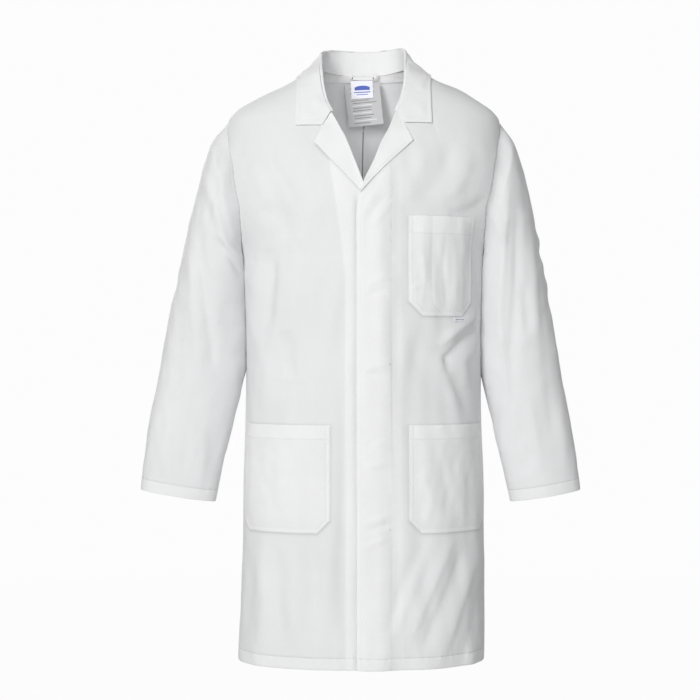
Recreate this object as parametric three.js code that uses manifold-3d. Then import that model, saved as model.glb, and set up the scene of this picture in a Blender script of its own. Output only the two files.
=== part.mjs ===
// Knee-length laboratory coat: notched collar, concealed press-stud front, three patch
// pockets, set-in sleeves, centre-back seam with a vent.
// Millimetres, +Z up, +X to the wearer's left, -Y to the wearer's front. The origin is the
// seat of the hanging loop; the pieces are drawn in a frame whose z = 0 is the hem.
// Every cut piece of cloth is its own thin solid. A piece that folds when the coat is used
// (front, sleeve, back) is divided along its fold line, one solid on each side.
// "side" is 1 for the wearer's left and -1 for the right. Angles on the body are polar
// angles from the front centre, positive towards +X. Offsets are measured outwards.
import * as THREE from "three";
import { mergeVertices } from "three/addons/utils/BufferGeometryUtils.js";
import Module from "manifold-3d";

const wasm = await Module();
wasm.setup();

// ---------------------------------------------------------------- driving dimensions
const CLOTH = 1; // thickness of one layer, seam allowances included
const GAP = 0.7; // half the gap kept between pieces that are sewn together
const HEM_Z = 0;
const NECK_Z = 1043; // neck seam at the back
const SHOULDER_Z = 944; // shoulder tip, top of the armhole
const UNDERARM_Z = 705; // bottom of the armhole
const FOLD_TOP = { x: 92, z: 930 }; // fold line of an opening front, upper end
const FOLD_BOTTOM = { x: 190, z: 150 }; // the same line near the hem
const FLAP_TOP_Z = 908; // highest point of an opening front
const BREAK_Z = 800; // where the front edges start to follow the roll line
const COLLAR_X = 4; // centre of the neck opening
const OVER_EDGE_X = -8; // free edge of the over (left) front
const UNDER_EDGE_X = 22; // free edge of the under (right) front
const UNDER_FACE = CLOTH / 2; // the under front is centred on the body surface
const STUD_X = 7; // line of the press studs
const STUD_Z = [730, 585, 442, 305, 168];
const STACK = 5.8; // how far the over front stands off the body surface at the studs
const VENT_TOP_Z = 300; // top of the centre-back vent
const VENT_FOLD_X = 112; // where the vent's fold line meets the hem
const VENT_FOLD_TOP_X = 4; // the same line at the top of the vent
const VENT_LAP = 18; // each corner passes the centre back by this much at the hem
const LOOP_SEAT = [4, 68, 1036];

// z, half width, front depth, back depth, centre y, exponent of the section
const SECTIONS = [
  [-5, 219, 148, 150, 0, 2.7],
  [100, 217, 146, 147, 0, 2.7],
  [270, 212, 143, 142, 0, 2.6],
  [400, 205, 141, 138, 0, 2.5],
  [500, 203, 139, 136, 0, 2.5],
  [600, 203, 137, 134, 0, 2.45],
  [705, 207, 134, 132, 0, 2.4],
  [760, 226, 131, 130, 1, 2.4],
  [800, 240, 128, 128, 2, 2.4],
  [850, 249, 122, 124, 4, 2.4],
  [900, 246, 111, 116, 6, 2.35],
  [944, 240, 97, 106, 8, 2.3],
  [961, 227, 91, 102, 9, 2.3],
  [976, 206, 85, 97, 10, 2.3],
  [990, 181, 79, 92, 11, 2.3],
  [1004, 152, 73, 86, 12, 2.3],
  [1018, 126, 67, 79, 12, 2.3],
  [1030, 104, 62, 73, 13, 2.3],
  [1048, 74, 56, 66, 14, 2.3],
];
// z, centre x of the section
const CENTRE_X = [[-5, -1], [270, 4], [500, 3], [800, 3], [940, 5], [990, 9], [1048, 5]];
// z, how far forward (or back) of the side the armhole runs, as a share of the section's depth
const ARMHOLE_FRONT = [
  [705, 0], [712, 0.16], [725, 0.27], [750, 0.42], [800, 0.58],
  [850, 0.62], [900, 0.5], [925, 0.33], [938, 0.17], [944, 0],
];
const ARMHOLE_BACK = [
  [705, 0], [712, 0.16], [725, 0.27], [750, 0.42], [800, 0.6],
  [850, 0.66], [900, 0.58], [925, 0.4], [938, 0.2], [944, 0],
];
// z, distance from COLLAR_X: roll line of collar and lapel, then neck edge of the side panels
const ROLL = [
  [800, -8], [822, 3], [860, 16], [901, 30], [915, 35],
  [945, 50], [982, 68], [1021, 73], [1048, 75],
];
const NECK_EDGE = [[922, 58], [945, 68], [975, 78], [1008, 83], [1036, 84], [1048, 84]];

// ---------------------------------------------------------------- body surface
const vec = (x, y, z) => new THREE.Vector3(x, y, z);
const lerp = (a, b, t) => a + (b - a) * t;
function smooth(t) {
  const s = Math.min(1, Math.max(0, t));
  return s * s * (3 - 2 * s);
}

// Column of a table at height z, linear between rows and held beyond the ends
function lookUp(rows, z, column = 1) {
  if (z <= rows[0][0]) return rows[0][column];
  for (let i = 1; i < rows.length; i++) {
    const low = rows[i - 1];
    const high = rows[i];
    if (z <= high[0]) return lerp(low[column], high[column], (z - low[0]) / (high[0] - low[0]));
  }
  return rows[rows.length - 1][column];
}

function sectionAt(z) {
  return {
    halfWidth: lookUp(SECTIONS, z, 1),
    front: lookUp(SECTIONS, z, 2),
    back: lookUp(SECTIONS, z, 3),
    centreY: lookUp(SECTIONS, z, 4),
    power: lookUp(SECTIONS, z, 5),
    centreX: lookUp(CENTRE_X, z),
  };
}

// Superellipse: (u / a)^power + (v / b)^power = 1 on the curve; this is the power's root
const superNorm = (u, a, v, b, power) =>
  Math.pow(Math.pow(Math.abs(u) / a, power) + Math.pow(Math.abs(v) / b, power), 1 / power);
const superOther = (share, power) => Math.pow(1 - Math.pow(share, power), 1 / power);

function bodyPoint(z, angle) {
  const s = sectionAt(z);
  const sin = Math.sin(angle);
  const cos = Math.cos(angle);
  const radius = 1 / superNorm(sin, s.halfWidth, cos, cos >= 0 ? s.front : s.back, s.power);
  return vec(s.centreX + radius * sin, s.centreY - radius * cos, z);
}

function surface(z, angle, offset) {
  const up = bodyPoint(z + 6, angle).sub(bodyPoint(z - 6, angle));
  const round = bodyPoint(z, angle + 0.02).sub(bodyPoint(z, angle - 0.02));
  return bodyPoint(z, angle).addScaledVector(round.cross(up).normalize(), offset);
}

// Angle from the y axis to the point of the section's front or back curve at a given x
function curveAngle(s, fromCentre, depth) {
  const share = Math.min(0.9999, Math.abs(fromCentre) / s.halfWidth);
  return Math.atan2(fromCentre, depth * superOther(share, s.power));
}
function frontAngle(z, x) {
  const s = sectionAt(z);
  return curveAngle(s, x - s.centreX, s.front);
}
// On the back, counted on without a jump across the centre back
function backAngle(z, fromCentre, side) {
  const s = sectionAt(z);
  return side * Math.PI - curveAngle(s, fromCentre, s.back);
}

function armholeAngle(z, back) {
  const s = sectionAt(z);
  const share = lookUp(back ? ARMHOLE_BACK : ARMHOLE_FRONT, z);
  const x = s.halfWidth * superOther(share, s.power);
  const angle = Math.atan2(x, share * (back ? s.back : s.front));
  return back ? Math.PI - angle : angle;
}
// Side seam, armhole and shoulder seam, on the wearer's left
const seamAngle = (z, back) =>
  z > UNDERARM_Z && z < SHOULDER_Z ? armholeAngle(z, back) : Math.PI / 2;

const shift = (angle, distance, z) => angle + distance / Math.max(60, sectionAt(z).halfWidth);

// Angle reached after going round the body by a distance
function along(z, start, distance) {
  const STEP = 0.01;
  let point = bodyPoint(z, start);
  let left = distance;
  let angle = start;
  while (left > 0) {
    const next = bodyPoint(z, angle + STEP);
    left -= next.distanceTo(point);
    point = next;
    angle += STEP;
  }
  return angle;
}

const foldX = (z) =>
  lerp(FOLD_BOTTOM.x, FOLD_TOP.x, (z - FOLD_BOTTOM.z) / (FOLD_TOP.z - FOLD_BOTTOM.z));
// Fold line, moved towards the side seam by a distance
const foldAngle = (z, side, outward) =>
  shift(frontAngle(z, side * foldX(z)), side * outward, z);
const rollX = (z, side) => COLLAR_X + side * lookUp(ROLL, z);

// ---------------------------------------------------------------- solids
const WELD = 1e-4; // vertices closer than this are merged

// Indexed geometry, its triangles turned to face outwards
function solid(positions, indices) {
  const corner = (i) => vec().fromArray(positions, indices[i] * 3);
  let volume = 0;
  for (let i = 0; i < indices.length; i += 3) {
    volume += corner(i).dot(corner(i + 1).cross(corner(i + 2))) / 6;
  }
  const faces = indices.slice();
  if (volume < 0) {
    for (let i = 0; i < faces.length; i += 3) {
      [faces[i + 1], faces[i + 2]] = [faces[i + 2], faces[i + 1]];
    }
  }
  const geometry = new THREE.BufferGeometry();
  geometry.setAttribute("position", new THREE.Float32BufferAttribute(positions, 3));
  geometry.setIndex(faces);
  return geometry;
}

// Closed shell between two grids of points, rows[j][i]. wrap joins the last column to the first.
function shell(outer, inner, wrap = false) {
  const rows = outer.length;
  const columns = outer[0].length;
  const positions = [...outer.flat(), ...inner.flat()].flatMap((p) => [p.x, p.y, p.z]);
  const indices = [];
  const out = (j, i) => j * columns + (i % columns);
  const inn = (j, i) => rows * columns + out(j, i);
  const quad = (a, b, c, d) => indices.push(a, b, c, a, c, d);
  const last = wrap ? columns : columns - 1;
  for (let j = 0; j < rows - 1; j++) {
    for (let i = 0; i < last; i++) {
      quad(out(j, i), out(j, i + 1), out(j + 1, i + 1), out(j + 1, i));
      quad(inn(j, i), inn(j + 1, i), inn(j + 1, i + 1), inn(j, i + 1));
    }
  }
  for (let i = 0; i < last; i++) {
    quad(out(0, i), inn(0, i), inn(0, i + 1), out(0, i + 1));
    quad(out(rows - 1, i), out(rows - 1, i + 1), inn(rows - 1, i + 1), inn(rows - 1, i));
  }
  if (!wrap) {
    for (let j = 0; j < rows - 1; j++) {
      quad(out(j, 0), out(j + 1, 0), inn(j + 1, 0), inn(j, 0));
      quad(out(j, last), inn(j, last), inn(j + 1, last), out(j + 1, last));
    }
  }
  return solid(positions, indices);
}

// Piece of the body surface between the angles from(z) and to(z). The offsets low and high
// of its two faces are numbers or functions of (z, angle).
function panel(levels, from, to, columns, low, high) {
  const face = (offset) =>
    levels.map((z) => {
      const row = [];
      for (let i = 0; i <= columns; i++) {
        const angle = lerp(from(z), to(z), i / columns);
        row.push(surface(z, angle, typeof offset === "function" ? offset(z, angle) : offset));
      }
      return row;
    });
  return shell(face(high), face(low));
}

function weld(geometry) {
  const bare = geometry.clone();
  bare.deleteAttribute("normal");
  bare.deleteAttribute("uv");
  return mergeVertices(bare, WELD);
}
function manifoldOf(geometry) {
  const welded = weld(geometry);
  return new wasm.Manifold(new wasm.Mesh({
    numProp: 3,
    vertProperties: new Float32Array(welded.attributes.position.array),
    triVerts: new Uint32Array(welded.index.array),
  }));
}
function geometryOf(manifold) {
  const mesh = manifold.getMesh();
  const stride = mesh.numProp;
  const positions = new Float32Array(mesh.numVert * 3);
  for (let i = 0; i < mesh.numVert; i++) {
    positions.set(mesh.vertProperties.subarray(i * stride, i * stride + 3), i * 3);
  }
  const geometry = new THREE.BufferGeometry();
  geometry.setAttribute("position", new THREE.BufferAttribute(positions, 3));
  geometry.setIndex(new THREE.BufferAttribute(new Uint32Array(mesh.triVerts), 1));
  return geometry;
}

// ---------------------------------------------------------------- group and materials
const root = new THREE.Group();
const coat = new THREE.Group();
coat.position.set(...LOOP_SEAT).negate();
root.add(coat);

const material = (color, roughness, metalness = 0) =>
  new THREE.MeshStandardMaterial({ color, roughness, metalness });
// colour, roughness, metalness
const TWILL = material(0xf2f2f3, 0.82);
const TAPE = material(0xf7f7f8, 0.7);
const METAL = material(0xd9dadc, 0.3, 0.9);
const SATIN = material(0xe7e9fb, 0.45);
const CARE = material(0xc9c9cc, 0.6);
const FUSED = material(0xe9e9ea, 0.9);

function add(name, geometry, clothing = TWILL) {
  const mesh = new THREE.Mesh(geometry, clothing);
  mesh.name = name;
  coat.add(mesh);
}

// ---------------------------------------------------------------- fronts
const POST_HOLE = 1.9; // radius of the holes for the stud rivets
const FLY_HOLE = 2.6; // radius of the holes in the fly strip
const FLAP_LEVELS = [
  HEM_Z, 84, 168, 236, 305, 374, 442, 514, 585, 658, 730, 790, 830, 870, FLAP_TOP_Z,
];
const SIDE_LEVELS = [
  HEM_Z, 84, 168, 236, 305, 374, 442, 514, 585, 658, UNDERARM_Z, 716, 740, 775,
  815, 855, 895, 912, 922, 935, SHOULDER_Z, 960, 978, 996, 1016, 1036,
];
const FACING_LEVELS = [
  HEM_Z + 3, 84, 168, 305, 442, 585, 730, 790, 830, 870, FLAP_TOP_Z - 3,
];
const FLY_LEVELS = [HEM_Z + 60, 168, 305, 442, 585, 730, 790];
// The side panels' inner edge steps from the fold line to the neck edge between these
const NECK_STEP = { bottom: 913, top: 921 };

const studPoint = (z) => bodyPoint(z, frontAngle(z, STUD_X)).setX(STUD_X);

// Round holes along Y at every stud
function pierced(geometry, radius) {
  let result = manifoldOf(geometry);
  for (const { x, y, z } of STUD_Z.map(studPoint)) {
    const drill = new THREE.CylinderGeometry(radius, radius, 30, 8);
    drill.translate(x, y, z);
    result = result.subtract(manifoldOf(drill));
  }
  return geometryOf(result);
}

// The over front lifts clear of the studs and settles towards the side and the lapel
function overLift(z, angle) {
  const { x } = bodyPoint(z, angle);
  return STACK * smooth((62 - x) / 34) * (1 - smooth((z - BREAK_Z) / 60));
}
function freeEdgeX(z, side) {
  if (z >= BREAK_Z) return rollX(z, side);
  return side > 0 ? OVER_EDGE_X : UNDER_EDGE_X;
}

// Opening part of a front, between its free edge and the fold line
function flap(side, columns, low, high) {
  const from = (z) => frontAngle(z, freeEdgeX(z, side));
  return panel(FLAP_LEVELS, from, (z) => foldAngle(z, side, -GAP), columns, low, high);
}
add("front_left_panel", flap(1, 9, overLift, (z, angle) => overLift(z, angle) + CLOTH));
add("front_right_panel", pierced(flap(-1, 8, -UNDER_FACE, UNDER_FACE), POST_HOLE));

// Part of a front between its fold line and the side seam, armhole and shoulder seam.
// Above the opening part it runs on to the neck seam.
function frontSidePanel(side) {
  const from = (z) => {
    const fold = side * foldX(z);
    const neck = COLLAR_X + side * lookUp(NECK_EDGE, z);
    const rise = (z - NECK_STEP.bottom) / (NECK_STEP.top - NECK_STEP.bottom);
    const x = lerp(fold, neck, Math.min(1, Math.max(0, rise)));
    return shift(frontAngle(z, x), side * GAP, z);
  };
  const to = (z) => side * shift(seamAngle(z, false), -GAP, z);
  return panel(SIDE_LEVELS, from, to, 5, 0, CLOTH);
}
add("front_left_side_panel", frontSidePanel(1));
add("front_right_side_panel", frontSidePanel(-1));

// Facings: the turned-in layer behind each front edge
function leftFacing() {
  const from = (z) => frontAngle(z, Math.max(32, rollX(z, 1) + 2));
  const face = -0.4;
  return panel(FACING_LEVELS, from, (z) => frontAngle(z, 82), 4,
    face - CLOTH * 1.2, face - CLOTH * 0.4);
}
function rightFacing() {
  const from = (z) => frontAngle(z, freeEdgeX(z, -1) - 1.5);
  const to = (z) => frontAngle(z, z < BREAK_Z ? -58 : -80);
  const face = -UNDER_FACE - 0.6;
  return panel(FACING_LEVELS, from, to, 5, face - CLOTH * 0.9, face);
}
add("front_left_facing", leftFacing());
add("front_right_facing", pierced(rightFacing(), POST_HOLE));

// Concealed strip that carries the sockets behind the over front
function flyStrip() {
  const from = (z) => frontAngle(z, OVER_EDGE_X + 3);
  return panel(FLY_LEVELS, from, (z) => frontAngle(z, 27), 3, 3.4, 4.2);
}
add("fly_strip", pierced(flyStrip(), FLY_HOLE));

// ---------------------------------------------------------------- press studs
// Turned profiles: radius, distance forward of the body surface
const STUD_PARTS = {
  // base disc and ball on the under front, facing forward
  press_stud: [
    [0, 0.8], [5, 0.8], [5, 1.25], [2.1, 1.3], [1.7, 1.7], [2, 2.2], [1.5, 2.7], [0, 2.7],
  ],
  // rivet through panel and facing, its head behind them
  stud_rivet: [[0, -3.3], [5, -3.3], [5, -2.7], [1.4, -2.7], [1.4, 0.55], [0, 0.55]],
  // ring on the back of the fly strip
  socket: [[2.6, 1.5], [5.4, 1.5], [5.4, 2.8], [2.6, 2.8], [2.6, 1.5]],
  // cap and post on the front of the fly strip, hidden by the over front
  socket_cap: [[0, 5.25], [5, 5.25], [5, 4.55], [2, 4.5], [2, 3.15], [0, 3.15]],
};
function studPart(profile, { x, y, z }) {
  const lathe = new THREE.LatheGeometry(profile.map((p) => new THREE.Vector2(...p)), 8);
  lathe.rotateX(Math.PI / 2); // axis from +Y to +Z
  lathe.rotateX(Math.PI / 2); // axis to -Y
  lathe.translate(x, y, z);
  const welded = weld(lathe);
  return solid(Array.from(welded.attributes.position.array), Array.from(welded.index.array));
}
STUD_Z.forEach((z, i) => {
  for (const [name, profile] of Object.entries(STUD_PARTS)) {
    add(`${name}_${i + 1}`, studPart(profile, studPoint(z)), METAL);
  }
});

// ---------------------------------------------------------------- lapels
const LAPEL_LIFT = 0.9; // gap between a lapel and the front under it
const LAPEL_THICKNESS = 1.6;
const LAPEL_LEVELS = [822, 840, 858, 876, 890, 897, 906, 915, 923, 931, 941];
// z, distance of the outer edge from COLLAR_X
const LAPEL_LEFT = [
  [808, 2], [840, 31], [870, 60], [897, 84], [906, 80], [915, 75], [923, 69], [931, 63], [941, 56],
];
const LAPEL_RIGHT = [
  [808, 2], [840, 34], [870, 64], [888, 83], [906, 75], [915, 71], [923, 67], [931, 62], [941, 56],
];
function lapel(side, outline) {
  const from = (z) => frontAngle(z, COLLAR_X + side * (lookUp(ROLL, z) + 1));
  const to = (z) => frontAngle(z, COLLAR_X + side * lookUp(outline, z));
  const low = (z, angle) =>
    (side > 0 ? overLift(z, angle) + CLOTH : UNDER_FACE) + LAPEL_LIFT;
  return panel(LAPEL_LEVELS, from, to, 4, low, (z, angle) => low(z, angle) + LAPEL_THICKNESS);
}
add("lapel_left", lapel(1, LAPEL_LEFT));
add("lapel_right", lapel(-1, LAPEL_RIGHT));

// ---------------------------------------------------------------- pockets
const POCKET_LIFT = 1.1; // gap between a pocket and the front it is sewn to
// innerX is the edge nearer the centre front, width runs round the body from there, chamfer
// cuts the two lower corners. The names are those of the parts inside and outside the fold.
const POCKETS = [
  { names: ["chest_pocket_pen_side", "chest_pocket"],
    side: 1, bottom: 596, top: 766, innerX: 80, width: 125, chamfer: 24 },
  { names: ["lower_pocket_left", "lower_pocket_left_outer"],
    side: 1, bottom: 229, top: 411, innerX: 80, width: 165, chamfer: 22 },
  { names: ["lower_pocket_right", "lower_pocket_right_outer"],
    side: -1, bottom: 229, top: 411, innerX: 53, width: 176, chamfer: 22 },
];
// A patch pocket follows the front and is divided where the front folds
function addPocket({ names, side, bottom, top, innerX, width, chamfer }) {
  const levels = [
    bottom, bottom + chamfer * 0.5, bottom + chamfer,
    lerp(bottom, top, 0.36), lerp(bottom, top, 0.68), top,
  ];
  const cut = (z) => Math.max(0, chamfer - (z - bottom));
  const innerEdge = (z) => frontAngle(z, side * (innerX + cut(z)));
  const outerEdge = (z) =>
    side * along(z, Math.abs(frontAngle(z, side * innerX)), width - cut(z));
  const part = (from, to, columns, face) => {
    const low = face + POCKET_LIFT;
    return panel(levels, from, to, columns, low, low + CLOTH);
  };
  const flapFace = side > 0 ? CLOTH : UNDER_FACE;
  add(names[0], part(innerEdge, (z) => foldAngle(z, side, -GAP), 4, flapFace));
  add(names[1], part((z) => foldAngle(z, side, GAP), outerEdge, 5, CLOTH));
}
POCKETS.forEach(addPocket);

// ---------------------------------------------------------------- back
const BACK_LEVELS = [
  HEM_Z, 75, 150, 225, VENT_TOP_Z, 312, 410, 510, 610, UNDERARM_Z, 716, 740,
  775, 815, 855, 895, 925, SHOULDER_Z, 960, 978, 996, 1016, 1034, NECK_Z,
];
const VENT_LEVELS = [HEM_Z, 75, 150, 225, 285];
const VENT_GAP = GAP * 1.4; // half the gap along the vent's fold line
const ventFoldX = (z) => lerp(VENT_FOLD_X, VENT_FOLD_TOP_X, z / VENT_TOP_Z);

// Half of the back, up to the neck seam, without the corner next to the vent
function backPanel(side) {
  const from = (z) => {
    const inVent = z < VENT_TOP_Z;
    const angle = backAngle(z, inVent ? side * ventFoldX(z) : 0, side);
    return shift(angle, -side * (inVent ? VENT_GAP : GAP), z);
  };
  const to = (z) => side * shift(seamAngle(z, true), GAP, z);
  return panel(BACK_LEVELS, from, to, 7, 0, CLOTH);
}
add("back_left_panel", backPanel(1));
add("back_right_panel", backPanel(-1));

// Corner between the vent edge, the hem and the fold line. The left one laps over the right
// one, less so towards the top of the vent.
function ventCorner(side) {
  const lap = (z) => -side * VENT_LAP * (ventFoldX(z) / VENT_FOLD_X);
  const from = (z) => backAngle(z, lap(z), side);
  const to = (z) =>
    shift(backAngle(z, side * Math.max(ventFoldX(z), 7), side), side * VENT_GAP, z);
  const low = side > 0 ? 1.4 : -1.5;
  return panel(VENT_LEVELS, from, to, 5, low, low + CLOTH);
}
add("vent_left_corner", ventCorner(1));
add("vent_right_corner", ventCorner(-1));

// ---------------------------------------------------------------- sleeves
const SLEEVE_SEGMENTS = 16;
const SLEEVE_CENTRE_X = 3; // the two sleeves mirror about this x
const ARMHOLE_CLEARANCE = 2.2; // the sleeve head stands off the armhole by this in x
const ELBOW_TRIM = 1.2; // each half stops this short of the elbow station
// Stations, wearer's left: underarm x, z, outer x, z, half depth, centre y
const SLEEVE = [
  [208, 705, 240, 944, 75, 3],
  [211, 690, 268, 905, 77, 2],
  [212, 673, 282, 864, 75, 1],
  [212, 655, 294, 818, 71, 0],
  [212, 632, 306, 767, 68, -2],
  [212, 608, 319, 712, 65, -4],
  [212, 582, 331, 651, 61, -6],
  [213, 552, 343, 590, 58, -8],
  [214, 512, 353, 535, 54, -11],
  [219, 465, 362, 487, 50, -14],
  [228, 415, 372, 437, 46, -17],
  [244, 345, 383, 367, 41, -21],
  [260, 272, 391, 293, 37, -25],
];
const ELBOW = 7; // station at which the sleeve bends
const WRIST = SLEEVE.length - 1;

// Ring of points at a station, moved inwards by inset. Station 0 follows the armhole.
function sleeveRing(station, side, inset) {
  const [underX, underZ, outerX, outerZ, halfDepth, centreY] = SLEEVE[station];
  const centre = vec((underX + outerX) / 2, centreY, (underZ + outerZ) / 2);
  const halfX = (outerX - underX) / 2;
  const halfZ = (outerZ - underZ) / 2;
  const shrink = 1 - inset / Math.hypot(halfX, halfZ);
  const ring = [];
  for (let i = 0; i < SLEEVE_SEGMENTS; i++) {
    const turn = (2 * Math.PI * i) / SLEEVE_SEGMENTS;
    const cos = Math.cos(turn);
    const sin = Math.sin(turn);
    let point;
    if (station === 0) {
      const height = centre.z + halfZ * cos;
      const z = Math.min(SHOULDER_Z - 0.01, Math.max(UNDERARM_Z + 0.01, height));
      point = bodyPoint(z, armholeAngle(z, sin < 0));
      point.x += ARMHOLE_CLEARANCE;
      point.addScaledVector(centre.clone().sub(point).normalize(), inset);
    } else {
      point = vec(
        centre.x + halfX * cos * shrink,
        centreY - sin * (halfDepth - inset),
        centre.z + halfZ * cos * shrink,
      );
    }
    point.x = side * point.x + SLEEVE_CENTRE_X;
    ring.push(point);
  }
  return ring;
}

// Tube from the elbow to the station at its other end, trimmed at the elbow
function sleeveTube(first, last, side) {
  const face = (inset) => {
    const rings = [];
    for (let k = first; k <= last; k++) rings.push(sleeveRing(k, side, inset));
    const elbow = ELBOW - first;
    const next = rings[first === ELBOW ? elbow + 1 : elbow - 1];
    rings[elbow].forEach((point, i) => {
      point.addScaledVector(next[i].clone().sub(point).normalize(), ELBOW_TRIM);
    });
    return rings;
  };
  return shell(face(0), face(CLOTH), true);
}

// Turned-up hem inside the wrist, over the end of the last stretch between stations
function cuffHem(side) {
  const face = (inset) => {
    const above = sleeveRing(WRIST - 1, side, inset);
    const wrist = sleeveRing(WRIST, side, inset);
    return [0.66, 0.995].map((t) => above.map((point, i) => point.clone().lerp(wrist[i], t)));
  };
  return shell(face(CLOTH + 0.5), face(CLOTH * 2 + 0.4), true);
}
for (const [word, side] of [["left", 1], ["right", -1]]) {
  add(`sleeve_${word}_upper`, sleeveTube(0, ELBOW, side));
  add(`sleeve_${word}_lower`, sleeveTube(ELBOW, WRIST, side));
  add(`cuff_hem_${word}`, cuffHem(side));
}

// ---------------------------------------------------------------- collar
// Stations from the centre back round to the front end, wearer's left half:
// neck seam point, fold point, leaf edge point (x from COLLAR_X)
const COLLAR = [
  [[0, 79, 1047], [0, 86, 1086], [0, 103, 1034]],
  [[22, 77, 1047], [23, 84, 1086], [27, 101, 1033]],
  [[42, 70, 1047], [44, 77, 1086], [55, 95, 1031]],
  [[60, 56, 1047], [61, 60, 1085], [80, 80, 1027]],
  [[71, 36, 1047], [71, 36, 1080], [101, 50, 1027]],
  [[77, 14, 1045], [75, 12, 1070], [113, 16, 1030]],
  [[78, -8, 1034], [74, -8, 1050], [114, -16, 1020]],
  [[78, -24, 1016], [72, -26, 1028], [113, -44, 1004]],
  [[75, -42, 990], [67, -46, 1000], [115, -62, 980]],
  [[66, -56, 966], [60, -60, 974], [116, -78, 955]],
  [[56, -68, 948], [51, -70, 953], [117, -92, 927]],
];
// Leaf points of the last station: down to the notch, then out to the collar point
const LAST_LEAF = [[69, -82, 931], [93, -88, 928], [117, -92, 928]];
const ROLL_OVER = 4; // index, in a station's row, of the point where the leaf begins
const ROLL_CLEARANCE = 4; // least distance off the body there
const LEAF_CLEARANCE = 5.6; // and along the leaf

// Approximate distance off the body surface, and the outward direction
function distanceOut(p) {
  const level = (x, y, z) => {
    const s = sectionAt(z);
    const depth = y < s.centreY ? s.front : s.back;
    return superNorm(x - s.centreX, s.halfWidth, y - s.centreY, depth, s.power) - 1;
  };
  const step = 1.5;
  const gradient = vec(
    level(p.x + step, p.y, p.z) - level(p.x - step, p.y, p.z),
    level(p.x, p.y + step, p.z) - level(p.x, p.y - step, p.z),
    level(p.x, p.y, p.z + step) - level(p.x, p.y, p.z - step),
  ).multiplyScalar(1 / (2 * step));
  const distance = level(p.x, p.y, p.z) / Math.max(1e-6, gradient.length());
  return { distance, outward: gradient.normalize() };
}
function pushClear(point, clearance) {
  for (let i = 0; i < 6; i++) {
    const { distance, outward } = distanceOut(point);
    if (distance < clearance) point.addScaledVector(outward, (clearance - distance) * 0.8);
  }
}

// Row of middle-surface points: up the stand, over the roll, down the leaf
function collarRow([neckPoint, foldPoint, edgePoint]) {
  const neck = vec(...neckPoint);
  const fold = vec(...foldPoint);
  const edge = vec(...edgePoint);
  const out = edge.clone().sub(fold).setZ(0).normalize();
  const radius = Math.min(4.2, Math.max(2.6, fold.distanceTo(neck) * 0.35));
  const onRoll = (outward, rise) => {
    const point = fold.clone().addScaledVector(out, outward);
    point.z += rise;
    return point;
  };
  const over = onRoll(radius * 2, -radius * 0.9);
  return [
    neck,
    neck.clone().lerp(fold, 0.72).addScaledVector(out, -0.4),
    onRoll(0, -radius * 0.5),
    onRoll(radius * 0.8, 0.6),
    over,
    ...[0.34, 0.67, 1].map((t) => over.clone().lerp(edge, t)),
  ];
}
function collarSurface() {
  const half = COLLAR.map(collarRow);
  half.at(-1).splice(ROLL_OVER + 1, LAST_LEAF.length, ...LAST_LEAF.map((p) => vec(...p)));
  const place = (row, side) => {
    const placed = row.map((p) => vec(COLLAR_X + side * p.x, p.y, p.z));
    for (let i = ROLL_OVER; i < placed.length; i++) {
      pushClear(placed[i], i === ROLL_OVER ? ROLL_CLEARANCE : LEAF_CLEARANCE);
    }
    return placed;
  };
  const right = half.slice(1).reverse();
  return [...right.map((row) => place(row, -1)), ...half.map((row) => place(row, 1))];
}
const collarMiddle = collarSurface();

// Layer between two offsets from the middle surface. Positive offsets lie on the side where
// the stand and the leaf face each other.
function collarLayer(low, high) {
  const lastRow = collarMiddle.length - 1;
  const lastColumn = collarMiddle[0].length - 1;
  const at = (j, i) =>
    collarMiddle[Math.min(lastRow, Math.max(0, j))][Math.min(lastColumn, Math.max(0, i))];
  const face = (offset) => collarMiddle.map((row, j) => row.map((point, i) => {
    const round = at(j + 1, i).clone().sub(at(j - 1, i));
    const across = at(j, i + 1).clone().sub(at(j, i - 1));
    return point.clone().addScaledVector(across.cross(round).normalize(), offset);
  }));
  return shell(face(high), face(low));
}
add("collar_upper", collarLayer(0.45, 1.25));
add("collar_interlining", collarLayer(-0.2, 0.15), FUSED);
add("collar_under", collarLayer(-1.25, -0.5));

// ---------------------------------------------------------------- neck tape, loop, labels
const TAPE_REACH = 0.95; // angle the neck tape covers each side of the centre back
add("neck_tape", panel([1030, 1040.5], () => Math.PI - TAPE_REACH, () => Math.PI + TAPE_REACH,
  8, -1.7, -0.9), TAPE);

// Hanging loop, a tape bent to a shallow U. Outline: x, z from the seat.
const LOOP_OUTLINE = [
  [-25, 8], [-25, 1], [-19, -5], [19, -5], [25, 1], [25, 8],
  [19.5, 8], [19.5, 5], [14, 0], [-14, 0], [-19.5, 5], [-19.5, 8],
];
const LOOP_DEPTH = 1.6;
function hangingLoop() {
  const shape = new THREE.Shape(LOOP_OUTLINE.map((p) => new THREE.Vector2(...p)));
  const loop = new THREE.ExtrudeGeometry(shape, { depth: LOOP_DEPTH, bevelEnabled: false });
  loop.rotateX(Math.PI / 2); // the outline's second axis becomes z
  const [x, y, z] = LOOP_SEAT;
  return loop.translate(x, y + LOOP_DEPTH / 2, z);
}
add("hanging_loop", hangingLoop(), TAPE);

// Flat labels inside the back of the neck
function label({ left, right, bottom, top, y }) {
  const plate = new THREE.BoxGeometry(left - right, 0.8, top - bottom);
  return plate.translate((left + right) / 2, y, (bottom + top) / 2);
}
add("neck_label", label({ right: -16, left: 22, bottom: 990, top: 1028, y: 71.2 }), SATIN);
add("care_label", label({ right: -22, left: 30, bottom: 945, top: 1024, y: 73.4 }), CARE);

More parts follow.
